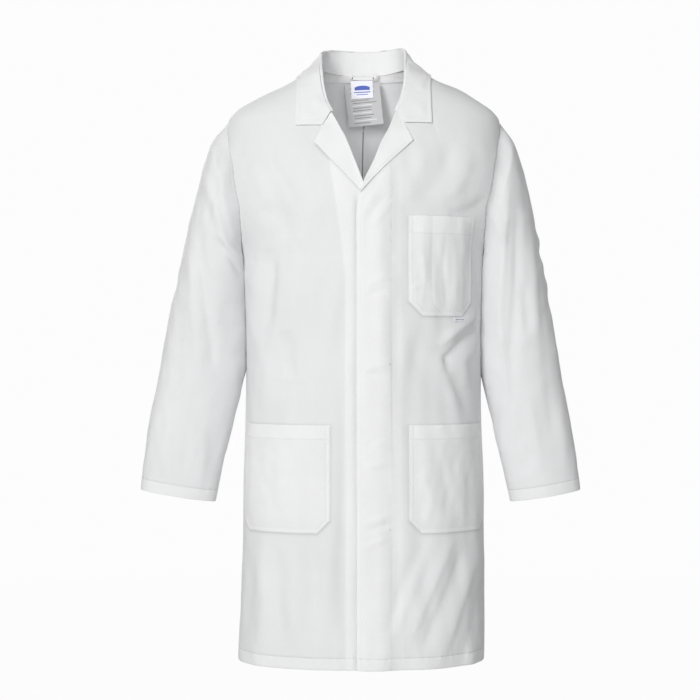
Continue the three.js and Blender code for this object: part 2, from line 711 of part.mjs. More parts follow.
// Small tag near the lower edge of the chest pocket, turned to lie along the front
function pocketTag() {
  const angle = frontAngle(593, 166);
  const before = bodyPoint(593, angle - 0.02);
  const after = bodyPoint(593, angle + 0.02);
  const seat = surface(590, angle, 1.9);
  const tag = new THREE.BoxGeometry(22, 1, 7);
  tag.rotateZ(Math.atan2(after.y - before.y, after.x - before.x));
  return tag.translate(seat.x, seat.y, 590.2);
}
add("pocket_tag", pocketTag(), SATIN);

export default root;
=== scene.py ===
"""A white laboratory coat hanging from its neck loop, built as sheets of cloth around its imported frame.

Lengths are in millimetres in the garment's own axes: x across (0 near the centre front, positive on
the wearer's left), y towards the back (the front is negative), z up from the hem. metres() takes them
to the frame's origin, the seat of the hanging loop. A place on the body is a height z and an angle
round it: 0 at the centre front, pi at the back, positive on the left. side is 1 for left, -1 for right.
"""
import math
from collections import namedtuple

import bpy
import numpy as np
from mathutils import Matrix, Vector


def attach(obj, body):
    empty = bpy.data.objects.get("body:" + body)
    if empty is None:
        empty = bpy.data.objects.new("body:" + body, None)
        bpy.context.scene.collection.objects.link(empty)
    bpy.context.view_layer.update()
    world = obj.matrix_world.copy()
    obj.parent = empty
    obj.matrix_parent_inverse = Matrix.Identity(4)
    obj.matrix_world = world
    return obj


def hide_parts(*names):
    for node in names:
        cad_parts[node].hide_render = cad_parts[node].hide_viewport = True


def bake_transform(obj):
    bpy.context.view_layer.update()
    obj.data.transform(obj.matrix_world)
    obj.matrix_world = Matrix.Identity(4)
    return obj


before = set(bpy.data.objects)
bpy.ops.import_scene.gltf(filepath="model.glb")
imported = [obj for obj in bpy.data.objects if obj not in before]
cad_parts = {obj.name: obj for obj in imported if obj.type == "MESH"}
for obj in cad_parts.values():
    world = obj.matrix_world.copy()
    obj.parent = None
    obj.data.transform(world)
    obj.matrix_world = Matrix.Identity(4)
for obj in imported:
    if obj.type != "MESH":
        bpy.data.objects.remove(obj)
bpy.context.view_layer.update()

SIDES = {1: "left", -1: "right"}
SEAT = np.array([4.0, 68.0, 1036.0])  # seat of the hanging loop
COLLAR_X = 4.0  # middle of the collar
SLEEVE_X = 3.0  # plane in which the sleeves mirror each other
CAMERA = (-19.6, -2600.0, 538.0)
CHEST_Y = -110.0  # depth at which the front elevation is true to size
HEM = 20.0  # depth of the turned-up hem and of the cuff hem
SLIT_TOP = 150.0  # side slits
VENT_TOP = 300.0  # back vent
ARM_LOW, ARM_HIGH = 705, 944  # armhole
SEAM_GAP = 0.25  # between two panels

# Cross sections of the body: z, half width, front depth, back depth, centre y, roundness power
SECTIONS = [
    [-5, 219, 148, 150, 0, 2.7], [100, 217, 146, 147, 0, 2.7], [270, 212, 143, 142, 0, 2.6],
    [400, 205, 141, 138, 0, 2.5], [500, 203, 139, 136, 0, 2.5], [600, 203, 137, 134, 0, 2.45],
    [705, 207, 134, 132, 0, 2.4], [760, 226, 131, 130, 1, 2.4], [800, 240, 128, 128, 2, 2.4],
    [850, 249, 122, 124, 4, 2.4], [900, 246, 111, 116, 6, 2.35], [944, 240, 97, 106, 8, 2.3],
    [961, 227, 91, 102, 9, 2.3], [976, 206, 85, 97, 10, 2.3], [990, 181, 79, 92, 11, 2.3],
    [1004, 152, 73, 86, 12, 2.3], [1018, 126, 67, 79, 12, 2.3], [1030, 104, 62, 73, 13, 2.3],
    [1048, 74, 56, 66, 14, 2.3],
]
# z, x of the body's middle
CENTRE = [[-5, -1], [270, 4], [500, 3], [800, 3], [940, 5], [990, 9], [1048, 5]]
# Armhole: z, how far it cuts in from the side, as a share of the body's depth
ARM_FRONT = [
    [705, 0], [712, 0.16], [725, 0.27], [750, 0.41], [800, 0.53], [850, 0.52],
    [890, 0.41], [915, 0.29], [930, 0.18], [938, 0.11], [944, 0],
]
ARM_BACK = [
    [705, 0], [712, 0.16], [725, 0.27], [750, 0.42], [800, 0.6], [850, 0.66],
    [900, 0.58], [925, 0.4], [938, 0.2], [944, 0],
]
# Free edge of each lapel: z, distance from the collar's middle
LAPELS = {
    1: np.array([
        [800, -8], [804, -5.5], [809, -1], [829, 16], [848, 34], [867, 53.5],
        [896.5, 84.5], [927.5, 70.5], [929, 73], [940, 65], [950, 57],
    ]),
    -1: np.array([
        [800, -3], [808, 5], [824, 19.5], [842, 36], [866, 60],
        [893, 85], [922, 71], [923.5, 73.5], [938, 64], [950, 54],
    ]),
}
# Front edge of each front, which is the lapel's roll line higher up: z, x
LEFT_EDGE = [
    [0, -8], [700, -8.4], [767, -9.2], [789, -5.8], [804.6, -1.7], [827, 6.8], [860, 22], [896, 37],
    [915, 47], [931, 54], [945, 59.5], [966, 71], [990, 79], [1016, 84], [1034, 85], [1045, 84],
]
RIGHT_EDGE = [
    [0, 22], [780, 22], [800, 11], [812, 5], [827, 0], [863, -13.5], [906, -31], [915, -36],
    [935, -46], [945, -51.5], [966, -63], [990, -71], [1016, -76], [1034, -77], [1045, -76],
]
# z, x of the inner edge of the right front's facing
FACING_EDGE = [[0, -27], [600, -27], [640, -27.5], [853, -53], [900, -60]]
# x, z at the two ends of the straight line that limits the left facing
FOLD_TOP, FOLD_BOTTOM = (92.0, 930.0), (190.0, 150.0)
# Rings down the sleeve: inner x, inner z, outer x, outer z, half depth, centre y
SLEEVE = [
    [208, 705, 240, 944, 75, 3], [211, 690, 268, 905, 77, 2], [212, 673, 282, 864, 75, 1],
    [212, 655, 294, 818, 71, 0], [212, 632, 306, 767, 68, -2], [212, 608, 319, 712, 65, -4],
    [212, 582, 331, 651, 61, -6], [213, 552, 343, 590, 58, -8], [214, 512, 353, 535, 54, -11],
    [219, 465, 362, 487, 50, -14], [228, 415, 372, 437, 46, -17], [244, 345, 383, 367, 41, -21],
    [260, 272, 391, 293, 37, -25],
]
SLEEVE_SPLIT = 4.0  # station where the upper sleeve ends and the forearm begins
RING = 112  # columns round a sleeve

# Soft folds in front elevation: height (negative is a valley), half width, lean, then x, z, x, z ...
BODY_FOLDS = [
    (4.2, 15, 0.3, -168.8, 879, -129.6, 819.3, -104, 768.2),
    (-4.2, 16, 0.2, -146.6, 899.5, -104, 827.9, -83.5, 768.2),
    (2.2, 13, 0, -189.3, 862, -155.2, 785.2, -138.1, 734.1),
    (-7.5, 20, -0.3, -165.4, 785.2, -134.7, 759.6, -124.5, 725.5),
    (-9.5, 15, 0.35, -151.7, 711.9, -155.2, 648.8, -158.6, 597.7, -168.8, 558.5),
    (7, 14, -0.3, -179, 688, -185.8, 606.2, -179, 538),
    (5.5, 17, 0.2, -119.4, 700, -117.6, 589.1, -104, 478.3),
    (-6.5, 15, 0.2, -127.9, 572, -121, 535, -124.5, 490),
    (-2.5, 15, 0, -73.3, 742.6, -61.4, 572.1, -66.5, 418.6),
    (4.5, 14, 0, -168.8, 546.5, -158.6, 435.7),
    (-5, 12, -0.3, 214.8, 797.2, 185.8, 776.7, 148.3, 769.9),
    (3.5, 14, 0.2, 185.8, 879, 172.2, 827.9, 134.7, 785.2),
    (-3, 14, 0, 160.3, 896, 134.7, 836.4, 104, 788.6),
    (2.5, 14, 0, 117.6, 896, 97.2, 844.9, 75, 793.8),
    (6.5, 7.5, 0.3, 196.1, 599.4, 168.8, 575.5, 134.7, 544.8),
    (-6.5, 8.5, -0.3, 199.5, 577.2, 168.8, 551.6, 144.9, 524.4, 146.6, 497.1),
    (4, 9, 0, 192.7, 546.5, 172.2, 517.5, 179, 473.2),
    (4, 10, 0.2, 131.3, 534.6, 144.9, 486.9, 162, 439.1),
    (-3.5, 10, 0, 155.2, 500.5, 172.2, 452.8, 185.8, 422.1),
    (-2.5, 12, 0, 100.6, 580.6, 90.4, 503.9, 93.8, 418.6),
    (2.5, 12, 0, 75, 572.1, 66.5, 452.8, 69.9, 384.5),
    (4.2, 11, 0.35, 158.6, 220.9, 117.6, 128.8, 78.4, 35),
    (-4.2, 11, -0.2, 177.3, 205.5, 139.8, 111.8, 98.9, 18),
    (4.2, 11, 0.3, 196.1, 186.8, 165.4, 94.7, 134.7, 6),
    (-3.4, 10, 0, 204.6, 142.4, 187.6, 60.6, 170.5, 6),
    (2.8, 10, 0, 117.6, 208.9, 80.1, 115.2, 52.9, 43.5),
    (-2.5, 10, 0, 97.2, 200.4, 63.1, 115.2, 42.6, 43.5),
    (3.5, 12, 0.2, -168.8, 200.4, -165.4, 111.8, -158.6, 18),
    (-3.5, 11, 0, -144.9, 205.5, -139.8, 111.8, -131.3, 18),
    (3, 12, 0, -117.6, 193.6, -110.8, 103.2, -104, 9.4),
    (-2.5, 12, 0, -87, 205.5, -80.1, 111.8, -73.3, 9.4),
    (2.5, 14, 0, -59.7, 214.1, -49.4, 111.8, -46, 6),
    (-2.2, 9, 0, -37.5, 623.2, -32.4, 418.6, -34.1, 179.9, -30.7, 43.5),
    (2, 5, 0.2, 0, 766.5, 11.9, 788.6, 29, 810.8),
    (-1.8, 5, 0, 8.5, 752.8, 23.9, 780.1, 42.6, 800.6),
    (1.6, 5, 0, 18.8, 746, 35.8, 769.9, 47.7, 783.5),
    (1.8, 5, 0.2, 5.1, 643.7, 25.6, 657.4, 46, 665.9),
    (-1.5, 5, 0, 5.1, 625, 29, 636.9, 46, 643.7),
    (1.6, 5, 0, 5.1, 505.6, 29, 510.7, 47.7, 515.8),
    (-1.5, 5, 0, 5.1, 493.7, 25.6, 497.1, 46, 492),
    (1.8, 5, 0.2, 5.1, 388, 27.3, 379.4, 47.7, 370.9),
    (-1.5, 5, 0, 8.5, 372.6, 22.2, 384.5, 39.2, 391.4),
    (1.6, 5, 0, 5.1, 336.8, 29, 343.6, 47.7, 348.7),
    (1.8, 5, 0.2, 5.1, 243, 29, 249.9, 49.4, 258.4),
    (-1.6, 5, 0, 8.5, 229.4, 29, 236.2, 47.7, 241.3),
    (1.8, 5, 0, 5.1, 202.1, 25.6, 210.6, 46, 219.2),
    (1.4, 6, 0, 52.9, 700, 73.3, 688),
    (1.4, 6, 0, 52.9, 418.6, 73.3, 398.2),
    (-1.8, 5, 0, 141.5, 739.2, 139.8, 674.4, 144.9, 602.8),
    (1.6, 6, 0, 155.2, 725.5, 160.3, 657.4, 156.9, 599.4),
    (-1.4, 5, 0, 173.9, 708.5, 175.6, 648.8, 172.2, 599.4),
    (1.4, 5, 0, 102.3, 725.5, 107.4, 665.9, 100.6, 602.8),
    (-1.5, 6, 0, 87, 708.5, 100.6, 688),
    (1.5, 6, 0, 85.2, 640.3, 102.3, 652.2),
    (-1.4, 7, 0, -151.7, 376, -148.3, 299.3, -155.2, 239.6),
    (1.4, 8, 0, -104, 367.5, -98.9, 299.3, -105.7, 234.5),
    (1.8, 7, 0.2, 100.6, 333.4, 117.6, 282.2, 107.4, 231.1),
    (-1.8, 7, 0, 134.7, 359, 144.9, 290.8, 138.1, 231.1),
    (1.5, 8, 0, 165.4, 350.4, 175.6, 282.2, 168.8, 234.5),
]
SLEEVE_FOLDS = {
    -1: [
        (4.5, 8, 0.2, -267.7, 841.5, -250.6, 785.2, -219.9, 688),
        (-5.5, 8, -0.2, -279.6, 742.6, -266, 623.2, -252.3, 503.9),
        (4, 9, 0, -293.3, 717, -286.4, 606.2, -272.8, 478.3),
        (-3.5, 5.5, 0, -254, 729, -226.8, 698.3, -204.6, 664.2),
        (3.5, 5, 0, -245.5, 737.5, -218.2, 708.5, -201.2, 688),
        (1.4, 9, 0, -238.7, 628.4, -210.3, 623.2),
        (-1.6, 9, 0, -245.5, 585.7, -210.3, 570.4),
        (1.5, 9, 0, -250.6, 546.5, -213.1, 534.6),
        (-3, 9, 0, -308.6, 623.2, -312, 521, -308.6, 435.7),
        (2.6, 9, 0, -329.1, 486.9, -329.1, 401.6, -335.9, 319.8),
        (-2.6, 9, 0, -295, 435.7, -298.4, 367.5, -301.8, 316.4),
        (2.5, 8, 0, -267.7, 418.6, -269.4, 359, -271.1, 312.9),
        (-3.5, 7, 0, -237, 879, -250.6, 810.8, -262.6, 756.2),
    ],
    1: [
        (5, 9, 0.3, 248.9, 819.3, 243.8, 725.5, 237, 606.2, 242.1, 495.4),
        (-5, 9, -0.2, 266, 785.2, 262.6, 648.8, 255.8, 538, 257.5, 435.7),
        (3.5, 9, 0, 289.9, 734.1, 295, 631.8, 301.8, 546.5),
        (-3.5, 8, 0, 276.2, 652.2, 284.7, 563.6),
        (-3.5, 6, 0, 216.5, 817.6, 231.9, 793.8, 248.9, 759.6),
        (3, 6, 0, 214.8, 785.2, 230.2, 756.2, 245.5, 715.3),
        (1.4, 9, 0, 231.9, 563.6, 262.6, 549.9),
        (-1.4, 9, 0, 228.5, 529.5, 264.3, 510.7),
        (-3, 9, 0, 313.7, 572.1, 318.8, 469.8, 325.7, 384.5),
        (3, 9, 0, 281.3, 469.8, 296.7, 401.6, 306.9, 330),
        (-2.6, 9, 0, 266, 418.6, 277.9, 367.5, 284.7, 319.8),
        (2.5, 9, 0, 335.9, 452.8, 344.4, 384.5, 349.5, 326.6),
        (-4, 6, 0, 237, 913.1, 230.2, 879, 226.8, 841.5),
    ],
}


# ------------------------------------------------------------------ small maths
def metres(points):
    return (np.asarray(points, float) - SEAT) / 1000.0


def smooth(t):
    """Eased step from 0 to 1."""
    t = np.clip(t, 0, 1)
    return t * t * (3 - 2 * t)


def bell(distance, reach):
    """1 at no distance, dying away over the reach."""
    return np.exp(-((distance / reach) ** 2))


def unit(vectors):
    return vectors / np.maximum(1e-12, np.linalg.norm(vectors, axis=-1, keepdims=True))


def run_length(points, axis=0):
    """Length run so far along lines of points."""
    steps = np.linalg.norm(np.diff(points, axis=axis), axis=-1)
    first = np.zeros_like(np.take(steps, [0], axis))
    return np.concatenate([first, np.cumsum(steps, axis)], axis)


def curve(rows, column=1):
    """Smooth monotone curve through the rows of a table."""
    x = np.array([row[0] for row in rows], float)
    y = np.array([row[column] for row in rows], float)
    gap = np.diff(x)
    rise = np.diff(y) / gap
    slope = np.zeros_like(y)
    slope[0], slope[-1] = rise[0], rise[-1]
    for i in range(1, len(y) - 1):
        if rise[i - 1] * rise[i] > 0:
            weight1, weight2 = 2 * gap[i] + gap[i - 1], gap[i] + 2 * gap[i - 1]
            slope[i] = (weight1 + weight2) / (weight1 / rise[i - 1] + weight2 / rise[i])

    def value(at):
        at = np.clip(np.asarray(at, float), x[0], x[-1])
        k = np.clip(np.searchsorted(x, at, side="right") - 1, 0, len(gap) - 1)
        t = (at - x[k]) / gap[k]
        return (
            y[k] * (1 + 2 * t) * (1 - t) ** 2
            + gap[k] * slope[k] * t * (1 - t) ** 2
            + y[k + 1] * t * t * (3 - 2 * t)
            + gap[k] * slope[k + 1] * t * t * (t - 1)
        )

    return value


def catmull(points, count):
    """Smooth curve through the rows of points, count samples to a span."""
    points = np.asarray(points, float)
    ends = [2 * points[0] - points[1]], [2 * points[-1] - points[-2]]
    padded = np.concatenate([ends[0], points, ends[1]])
    out = []
    for p0, p1, p2, p3 in zip(padded, padded[1:], padded[2:], padded[3:]):
        for t in np.linspace(0, 1, count, endpoint=False):
            square = (2 * p0 - 5 * p1 + 4 * p2 - p3) * t * t
            cube = (-p0 + 3 * p1 - 3 * p2 + p3) * t**3
            out.append(0.5 * ((2 * p1) + (-p0 + p2) * t + square + cube))
    out.append(points[-1])
    return np.array(out)


def resample(line, shares):
    """Points at shares of a line's length."""
    run = run_length(line)
    return np.stack([np.interp(shares * run[-1], run, line[:, c]) for c in range(3)], -1)


# ------------------------------------------------------------------ the smooth body
SECTION_CURVES = [curve(SECTIONS, c) for c in range(1, 6)]
SLEEVE_CURVES = [curve([[i] + row for i, row in enumerate(SLEEVE)], c) for c in range(1, 7)]
half_width_at = SECTION_CURVES[0]
centre_x = curve(CENTRE)
arm_front, arm_back = curve(ARM_FRONT), curve(ARM_BACK)
edge_x = {1: curve(LEFT_EDGE), -1: curve(RIGHT_EDGE)}
facing_x = curve(FACING_EDGE)


def section(z):
    """Half width, front depth, back depth, centre y and power at a height."""
    return (value(z) for value in SECTION_CURVES)


def form(z, angle):
    """Point of the smooth body."""
    z, angle = np.broadcast_arrays(np.asarray(z, float), np.asarray(angle, float))
    half_width, front, back, centre_y, power = section(z)
    middle = centre_x(z)
    sine, cosine = np.sin(angle), np.cos(angle)
    depth = np.where(cosine >= 0, front, back)
    radius = (np.abs(sine / half_width) ** power + np.abs(cosine / depth) ** power) ** (-1 / power)
    return np.stack([middle + radius * sine, centre_y - radius * cosine, z], -1)


def form_normal(z, angle):
    """Outward direction of the smooth body."""
    upward = form(np.asarray(z) + 4, angle) - form(np.asarray(z) - 4, angle)
    around = form(z, np.asarray(angle) + 0.02) - form(z, np.asarray(angle) - 0.02)
    return unit(np.cross(around, upward))


def angle_at(z, x, back=False):
    """Angle at which the front, or the back, has this x."""
    z, x = np.broadcast_arrays(np.asarray(z, float), np.asarray(x, float))
    half_width, front, rear, _, power = section(z)
    middle = centre_x(z)
    share = np.minimum(0.9999, np.abs(x - middle) / half_width)
    depth = (rear if back else front) * (1 - share**power) ** (1 / power)
    angle = np.arctan2(np.abs(x - middle), depth)
    if back:
        return np.where(x >= middle, np.pi - angle, angle - np.pi)
    return np.where(x >= middle, angle, -angle)


def back_angle(z, x, side):
    """Angle on the back, unbroken across the centre back when counted from one side."""
    angle = angle_at(z, x, True)
    return np.where(side * angle < 0, angle + side * 2 * np.pi, angle)


def seam_angle(z, back):
    """Angle of the side seam, armhole or shoulder seam on the left."""
    half_width, front, rear, _, power = section(z)
    share = (arm_back if back else arm_front)(z)
    x = half_width * (1 - share**power) ** (1 / power)
    angle = np.arctan2(x, share * (rear if back else front))
    inside = (z > ARM_LOW) & (z < ARM_HIGH)
    return np.where(inside, (np.pi - angle) if back else angle, np.pi / 2)


def go_round(z, angle, distance, side, steps=16):
    """Angle reached a distance further round the body."""
    z, angle, distance = np.broadcast_arrays(*(np.asarray(v, float) for v in (z, angle, distance)))
    angle = angle.copy()
    for _ in range(steps):
        speed = np.linalg.norm(form(z, angle + 0.004) - form(z, angle - 0.004), axis=-1) / 0.008
        angle = angle + side * (distance / steps) / speed
    return angle


def level(points):
    """Rough signed distance of points from the smooth body, and the outward direction."""
    def beyond(p):
        half_width, front, back, centre_y, power = section(p[..., 2])
        depth = np.where(p[..., 1] < centre_y, front, back)
        x = np.abs((p[..., 0] - centre_x(p[..., 2])) / half_width)
        y = np.abs((p[..., 1] - centre_y) / depth)
        return (x**power + y**power) ** (1 / power) - 1

    step = 1.5
    rates = [(beyond(points + step * axis) - beyond(points - step * axis)) / (2 * step) for axis in np.eye(3)]
    gradient = np.stack(rates, -1)
    size = np.maximum(1e-6, np.linalg.norm(gradient, axis=-1))
    return beyond(points) / size, gradient / size[..., None]


def snap(points, offset):
    """Move points until they lie offset outside the smooth body."""
    points = np.array(points, float)
    for _ in range(6):
        distance, outward = level(points)
        points = points + outward * (offset - distance)[..., None] * 0.9
    return points


# ------------------------------------------------------------------ folds and creases
def noise(points, wavelength, seed, stretch=(1, 1, 1)):
    """Smooth noise of about unit size, the same at the same place on every run."""
    rng = np.random.RandomState(seed)
    scaled = points / np.array(stretch, float)
    out = np.zeros(points.shape[:-1])
    for _ in range(14):
        wave = rng.normal(size=3)
        wave *= (2 * np.pi / wavelength) * rng.uniform(0.6, 1.5) / np.linalg.norm(wave)
        out += np.sin(scaled @ wave + rng.uniform(0, 2 * np.pi))
    return out / math.sqrt(7.0)


def strokes(x, z, folds):
    """Sum of soft ridges and valleys along paths in front elevation."""
    out = np.zeros(np.shape(x))
    for height, half_width, lean, *path in folds:
        points = np.reshape(np.array(path, float), (-1, 2))
        spans = np.diff(points, axis=0)
        lengths = np.linalg.norm(spans, axis=1)
        done = 0.0
        nearest = np.full(np.shape(x), 1e9)
        along = np.zeros(np.shape(x))
        sign = np.ones(np.shape(x))
        for start, span, length in zip(points[:-1], spans, lengths):
            dx, dz = x - start[0], z - start[1]
            t = np.clip((dx * span[0] + dz * span[1]) / (length * length), 0.0, 1.0)
            dx, dz = dx - t * span[0], dz - t * span[1]
            distance = np.hypot(dx, dz)
            closer = distance < nearest
            nearest = np.where(closer, distance, nearest)
            along = np.where(closer, (done + t * length) / lengths.sum(), along)
            sign = np.where(closer, np.sign(dx * span[1] - dz * span[0]), sign)
            done += length
        taper = np.clip(5.0 * along * (1 - along), 0, 1) ** 0.8 * 0.92 + 0.08
        out += height * taper * bell(nearest, half_width * (1 + lean * sign))
    return out


def pucker(distance, along, height, pitch, reach, seed):
    """Little gathers beside a stitched line, at a distance from it and a place along it."""
    phases = np.random.RandomState(seed).uniform(0, 6.28, 3)
    wave = 0
    for phase, size, stretch in zip(phases, (1, 0.7, 0.6), (1, 1.73, 0.61)):
        wave = wave + size * np.sin(2 * np.pi * along / (pitch * stretch) + phase)
    return height * wave * bell(distance, reach) * 0.5


def armhole_pucker(spot, seed):
    gathers = pucker(spot.end, spot.z, height=0.5, pitch=12, reach=10, seed=seed)
    return np.where((spot.z > ARM_LOW) & (spot.z < ARM_HIGH), gathers, 0)


def front_view(points):
    """x and z of points in front elevation, as the camera sees them at the chest's depth."""
    scale = (CHEST_Y - CAMERA[1]) / (points[..., 1] - CAMERA[1])
    x = CAMERA[0] + (points[..., 0] - CAMERA[0]) * scale
    return x, CAMERA[2] + (points[..., 2] - CAMERA[2]) * scale


def drape(z, angle):
    """How far the cloth stands off the smooth body."""
    points = form(z, angle)
    x, y, height = points[..., 0], points[..., 1], points[..., 2]
    cosine = np.cos(angle)
    front = smooth(cosine / 0.35)
    back = smooth(-cosine / 0.35)
    low = smooth((560 - height) / 420)
    high = 1 - smooth((height - 930) / 60)
    off = 0.66 * front * strokes(*front_view(points), BODY_FOLDS)
    crumple = 0.9 * noise(points, 95, 11, (1, 1, 2.4)) + 0.35 * noise(points, 38, 12, (1, 1, 1.8))
    off += front * crumple * high
    # the back hangs in soft upright folds
    upright = 1.6 * noise(points, 120, 21, (1, 1, 4.0))
    upright += (1.0 + 3.2 * low) * noise(points, 85, 22, (1, 1, 7.0))
    off += back * high * (upright + 0.5 * noise(points, 40, 23, (1, 1, 2.0)))
    off += front * low * 0.9 * noise(points, 60, 13, (1, 1, 6.0))
    # upright flutes at the sides
    off += np.clip(1 - front - back, 0, 1) * (1.2 * noise(points, 70, 31, (1, 1, 5.0)))
    gathers = pucker(height - HEM, x + 0.6 * y, height=0.55, pitch=13, reach=11, seed=5)
    off += gathers * (height < 60)
    # the cloth lies closer where the armhole meets the shoulder
    return off * (1 - 0.75 * bell(height - ARM_HIGH, 40) * (np.abs(cosine) < 0.6))


def relief_at(z, angle):
    """Relief that the cloth simulation adds, read from its grid."""
    if RELIEF is None:
        return 0.0
    rows_z, angles, relief = RELIEF
    turned = (np.asarray(angle) + np.pi) % (2 * np.pi) - np.pi
    row = np.clip((z - rows_z[0]) / (rows_z[1] - rows_z[0]), 0, len(rows_z) - 1.001)
    column = (turned - angles[0]) / (angles[1] - angles[0]) % len(angles)
    i = np.floor(row).astype(int)
    j = np.floor(column).astype(int) % len(angles)
    after = (j + 1) % len(angles)
    up, over = row - i, column - np.floor(column)
    here = relief[i, j] * (1 - up) + relief[i + 1, j] * up
    there = relief[i, after] * (1 - up) + relief[i + 1, after] * up
    return here * (1 - over) + there * over


def body(z, angle, offset=0.0):
    """Point offset outside the draped coat."""
    z, angle = np.broadcast_arrays(np.asarray(z, float), np.asarray(angle, float))
    off = drape(z, angle) + relief_at(z, angle)
    return form(z, angle) + form_normal(z, angle) * (off + offset)[..., None]


def body_line(z, angle, offset):
    """Points of a line above the draped coat, and the outward direction there."""
    z = np.asarray(z, float)
    return body(z, angle, offset), form_normal(z, angle)


# ------------------------------------------------------------------ meshes
def mesh_from(name, vertices, faces, uv=None, material=None, sharp=None, normals=None):
    """Smooth-shaded object from vertices in mm. sharp is in degrees."""
    mesh = bpy.data.meshes.new(name)
    vertices = np.asarray(metres(vertices), np.float32)
    faces = np.asarray(faces, np.int32)
    corners = faces.shape[1]
    mesh.vertices.add(len(vertices))
    mesh.vertices.foreach_set("co", vertices.ravel())
    mesh.loops.add(len(faces) * corners)
    mesh.loops.foreach_set("vertex_index", faces.ravel())
    mesh.polygons.add(len(faces))
    starts = np.arange(0, len(faces) * corners, corners, dtype=np.int32)
    mesh.polygons.foreach_set("loop_start", starts)
    mesh.polygons.foreach_set("use_smooth", np.ones(len(faces), bool))
    mesh.update(calc_edges=True)
    mesh.validate()
    if uv is not None:
        layer = mesh.uv_layers.new(name="cloth")
        layer.data.foreach_set("uv", np.asarray(uv, np.float32)[faces.ravel()].ravel())
    if sharp is not None:
        mesh.set_sharp_from_angle(angle=math.radians(sharp))
    if normals is not None:
        mesh.normals_split_custom_set_from_vertices([tuple(v) for v in normals])
    return link_object(name, mesh, material)


def link_object(name, data, material=None):
    thing = bpy.data.objects.new(name, data)
    bpy.context.scene.collection.objects.link(thing)
    if material is not None:
        data.materials.append(material)
    return thing


def grid_faces(rows, columns, wrap=False):
    i = np.arange(rows * columns).reshape(rows, columns)
    if wrap:
        i = np.concatenate([i, i[:, :1]], 1)
    return np.stack([i[:-1, :-1], i[:-1, 1:], i[1:, 1:], i[1:, :-1]], -1).reshape(-1, 4)


def shell(name, outer, inner, material, uv, ply_and_shade, wrap=False, sharp=48, normals=None):
    """Closed sheet of cloth between two grids of points.

    ply, a number or a grid, is 1 where two layers lie together and below 0 where shade is painted: in a
    crease, along a seam or a stitched line, or under an edge."""
    outer, inner = np.asarray(outer, float), np.asarray(inner, float)
    rows, columns = outer.shape[:2]
    vertices = np.concatenate([outer.reshape(-1, 3), inner.reshape(-1, 3)])
    sheet = grid_faces(rows, columns, wrap)
    faces = [sheet, (sheet + rows * columns)[:, ::-1]]
    i = np.arange(rows * columns).reshape(rows, columns)

    def add_rim(line, flip, closed=False):
        if closed:
            line = np.append(line, line[0])
        below = line + rows * columns
        quads = np.stack([line[:-1], below[:-1], below[1:], line[1:]], -1)
        faces.append(quads[:, ::-1] if flip else quads)

    add_rim(i[0], False, wrap)
    add_rim(i[-1], True, wrap)
    if not wrap:
        add_rim(i[:, 0], True)
        add_rim(i[:, -1], False)
    faces = np.concatenate(faces)
    # turn the faces outward if the enclosed volume comes out negative
    corner = vertices[faces]
    volume = 0
    for k in (1, 2):
        cross = np.cross(corner[:, k], corner[:, k + 1])
        volume = volume + np.einsum("ij,ij->i", corner[:, 0], cross)
    if volume.sum() < 0:
        faces = faces[:, ::-1]
    uv = np.tile(uv.reshape(-1, 2), (2, 1))
    thing = mesh_from(name, vertices, faces, uv, material, sharp, normals)
    values = np.tile(np.broadcast_to(ply_and_shade, (rows, columns)).ravel(), 2)
    layer = thing.data.attributes.new("ply_and_shade", "FLOAT", "POINT")
    layer.data.foreach_set("value", np.asarray(values, np.float32))
    return thing


def blocks(name, pairs, material):
    """Thin four-sided blocks, each from its outer and its inner corners."""
    vertices, faces = [], []
    for outer, inner in pairs:
        base = len(vertices)
        vertices += metres(outer).tolist() + metres(inner).tolist()
        faces += [[base + k for k in range(4)], [base + 4 + k for k in reversed(range(4))]]
        for k in range(4):
            after = (k + 1) % 4
            faces.append([base + after, base + k, base + 4 + k, base + 4 + after])
    mesh = bpy.data.meshes.new(name)
    mesh.from_pydata(vertices, [], faces)
    return link_object(name, mesh, material)


def stitches(name, lines, material, half_width=0.34, height=0.28, length=2.3, pitch=3.0):
    """Rows of stitches along lines, each a pair of points and outward directions.

    A stitch is a flattened bead: two ends sunk into the cloth and two rings of four between."""
    beads = []
    for points, outward in lines:
        points, outward = np.asarray(points, float), np.asarray(outward, float)
        run = run_length(points)
        count = int(run[-1] // pitch)
        if count < 1:
            continue
        middles = (np.arange(count) + 0.5) * pitch

        def at(places, values):
            return np.stack([np.interp(places, run, values[:, c]) for c in range(3)], -1)

        start, end = at(middles - length / 2, points), at(middles + length / 2, points)
        middle = at(middles, points)
        up = unit(at(middles, outward))
        along = unit(end - start)
        across = unit(np.cross(up, along))
        bead = [start - up * 0.12]
        for share in (-0.55, 0.55):
            centre = middle + along * (length / 2) * share
            bead += [centre + across * half_width, centre + up * height]
            bead += [centre - across * half_width, centre - up * 0.1]
        bead.append(end - up * 0.12)
        beads.append(np.stack(bead, 1).reshape(-1, 3))
    vertices = np.concatenate(beads)
    ends, halves, other_halves = [], [], []
    for k in range(4):
        after = (k + 1) % 4
        ends += [[0, 1 + k, 1 + after], [9, 5 + after, 5 + k]]
        halves.append([1 + k, 5 + k, 5 + after])
        other_halves.append([1 + k, 5 + after, 1 + after])
    firsts = np.arange(0, len(vertices), 10)[:, None, None]
    parts = [(np.array(part)[None] + firsts).reshape(-1, 3) for part in (ends, halves, other_halves)]
    return mesh_from(name, vertices, np.concatenate(parts), None, material)


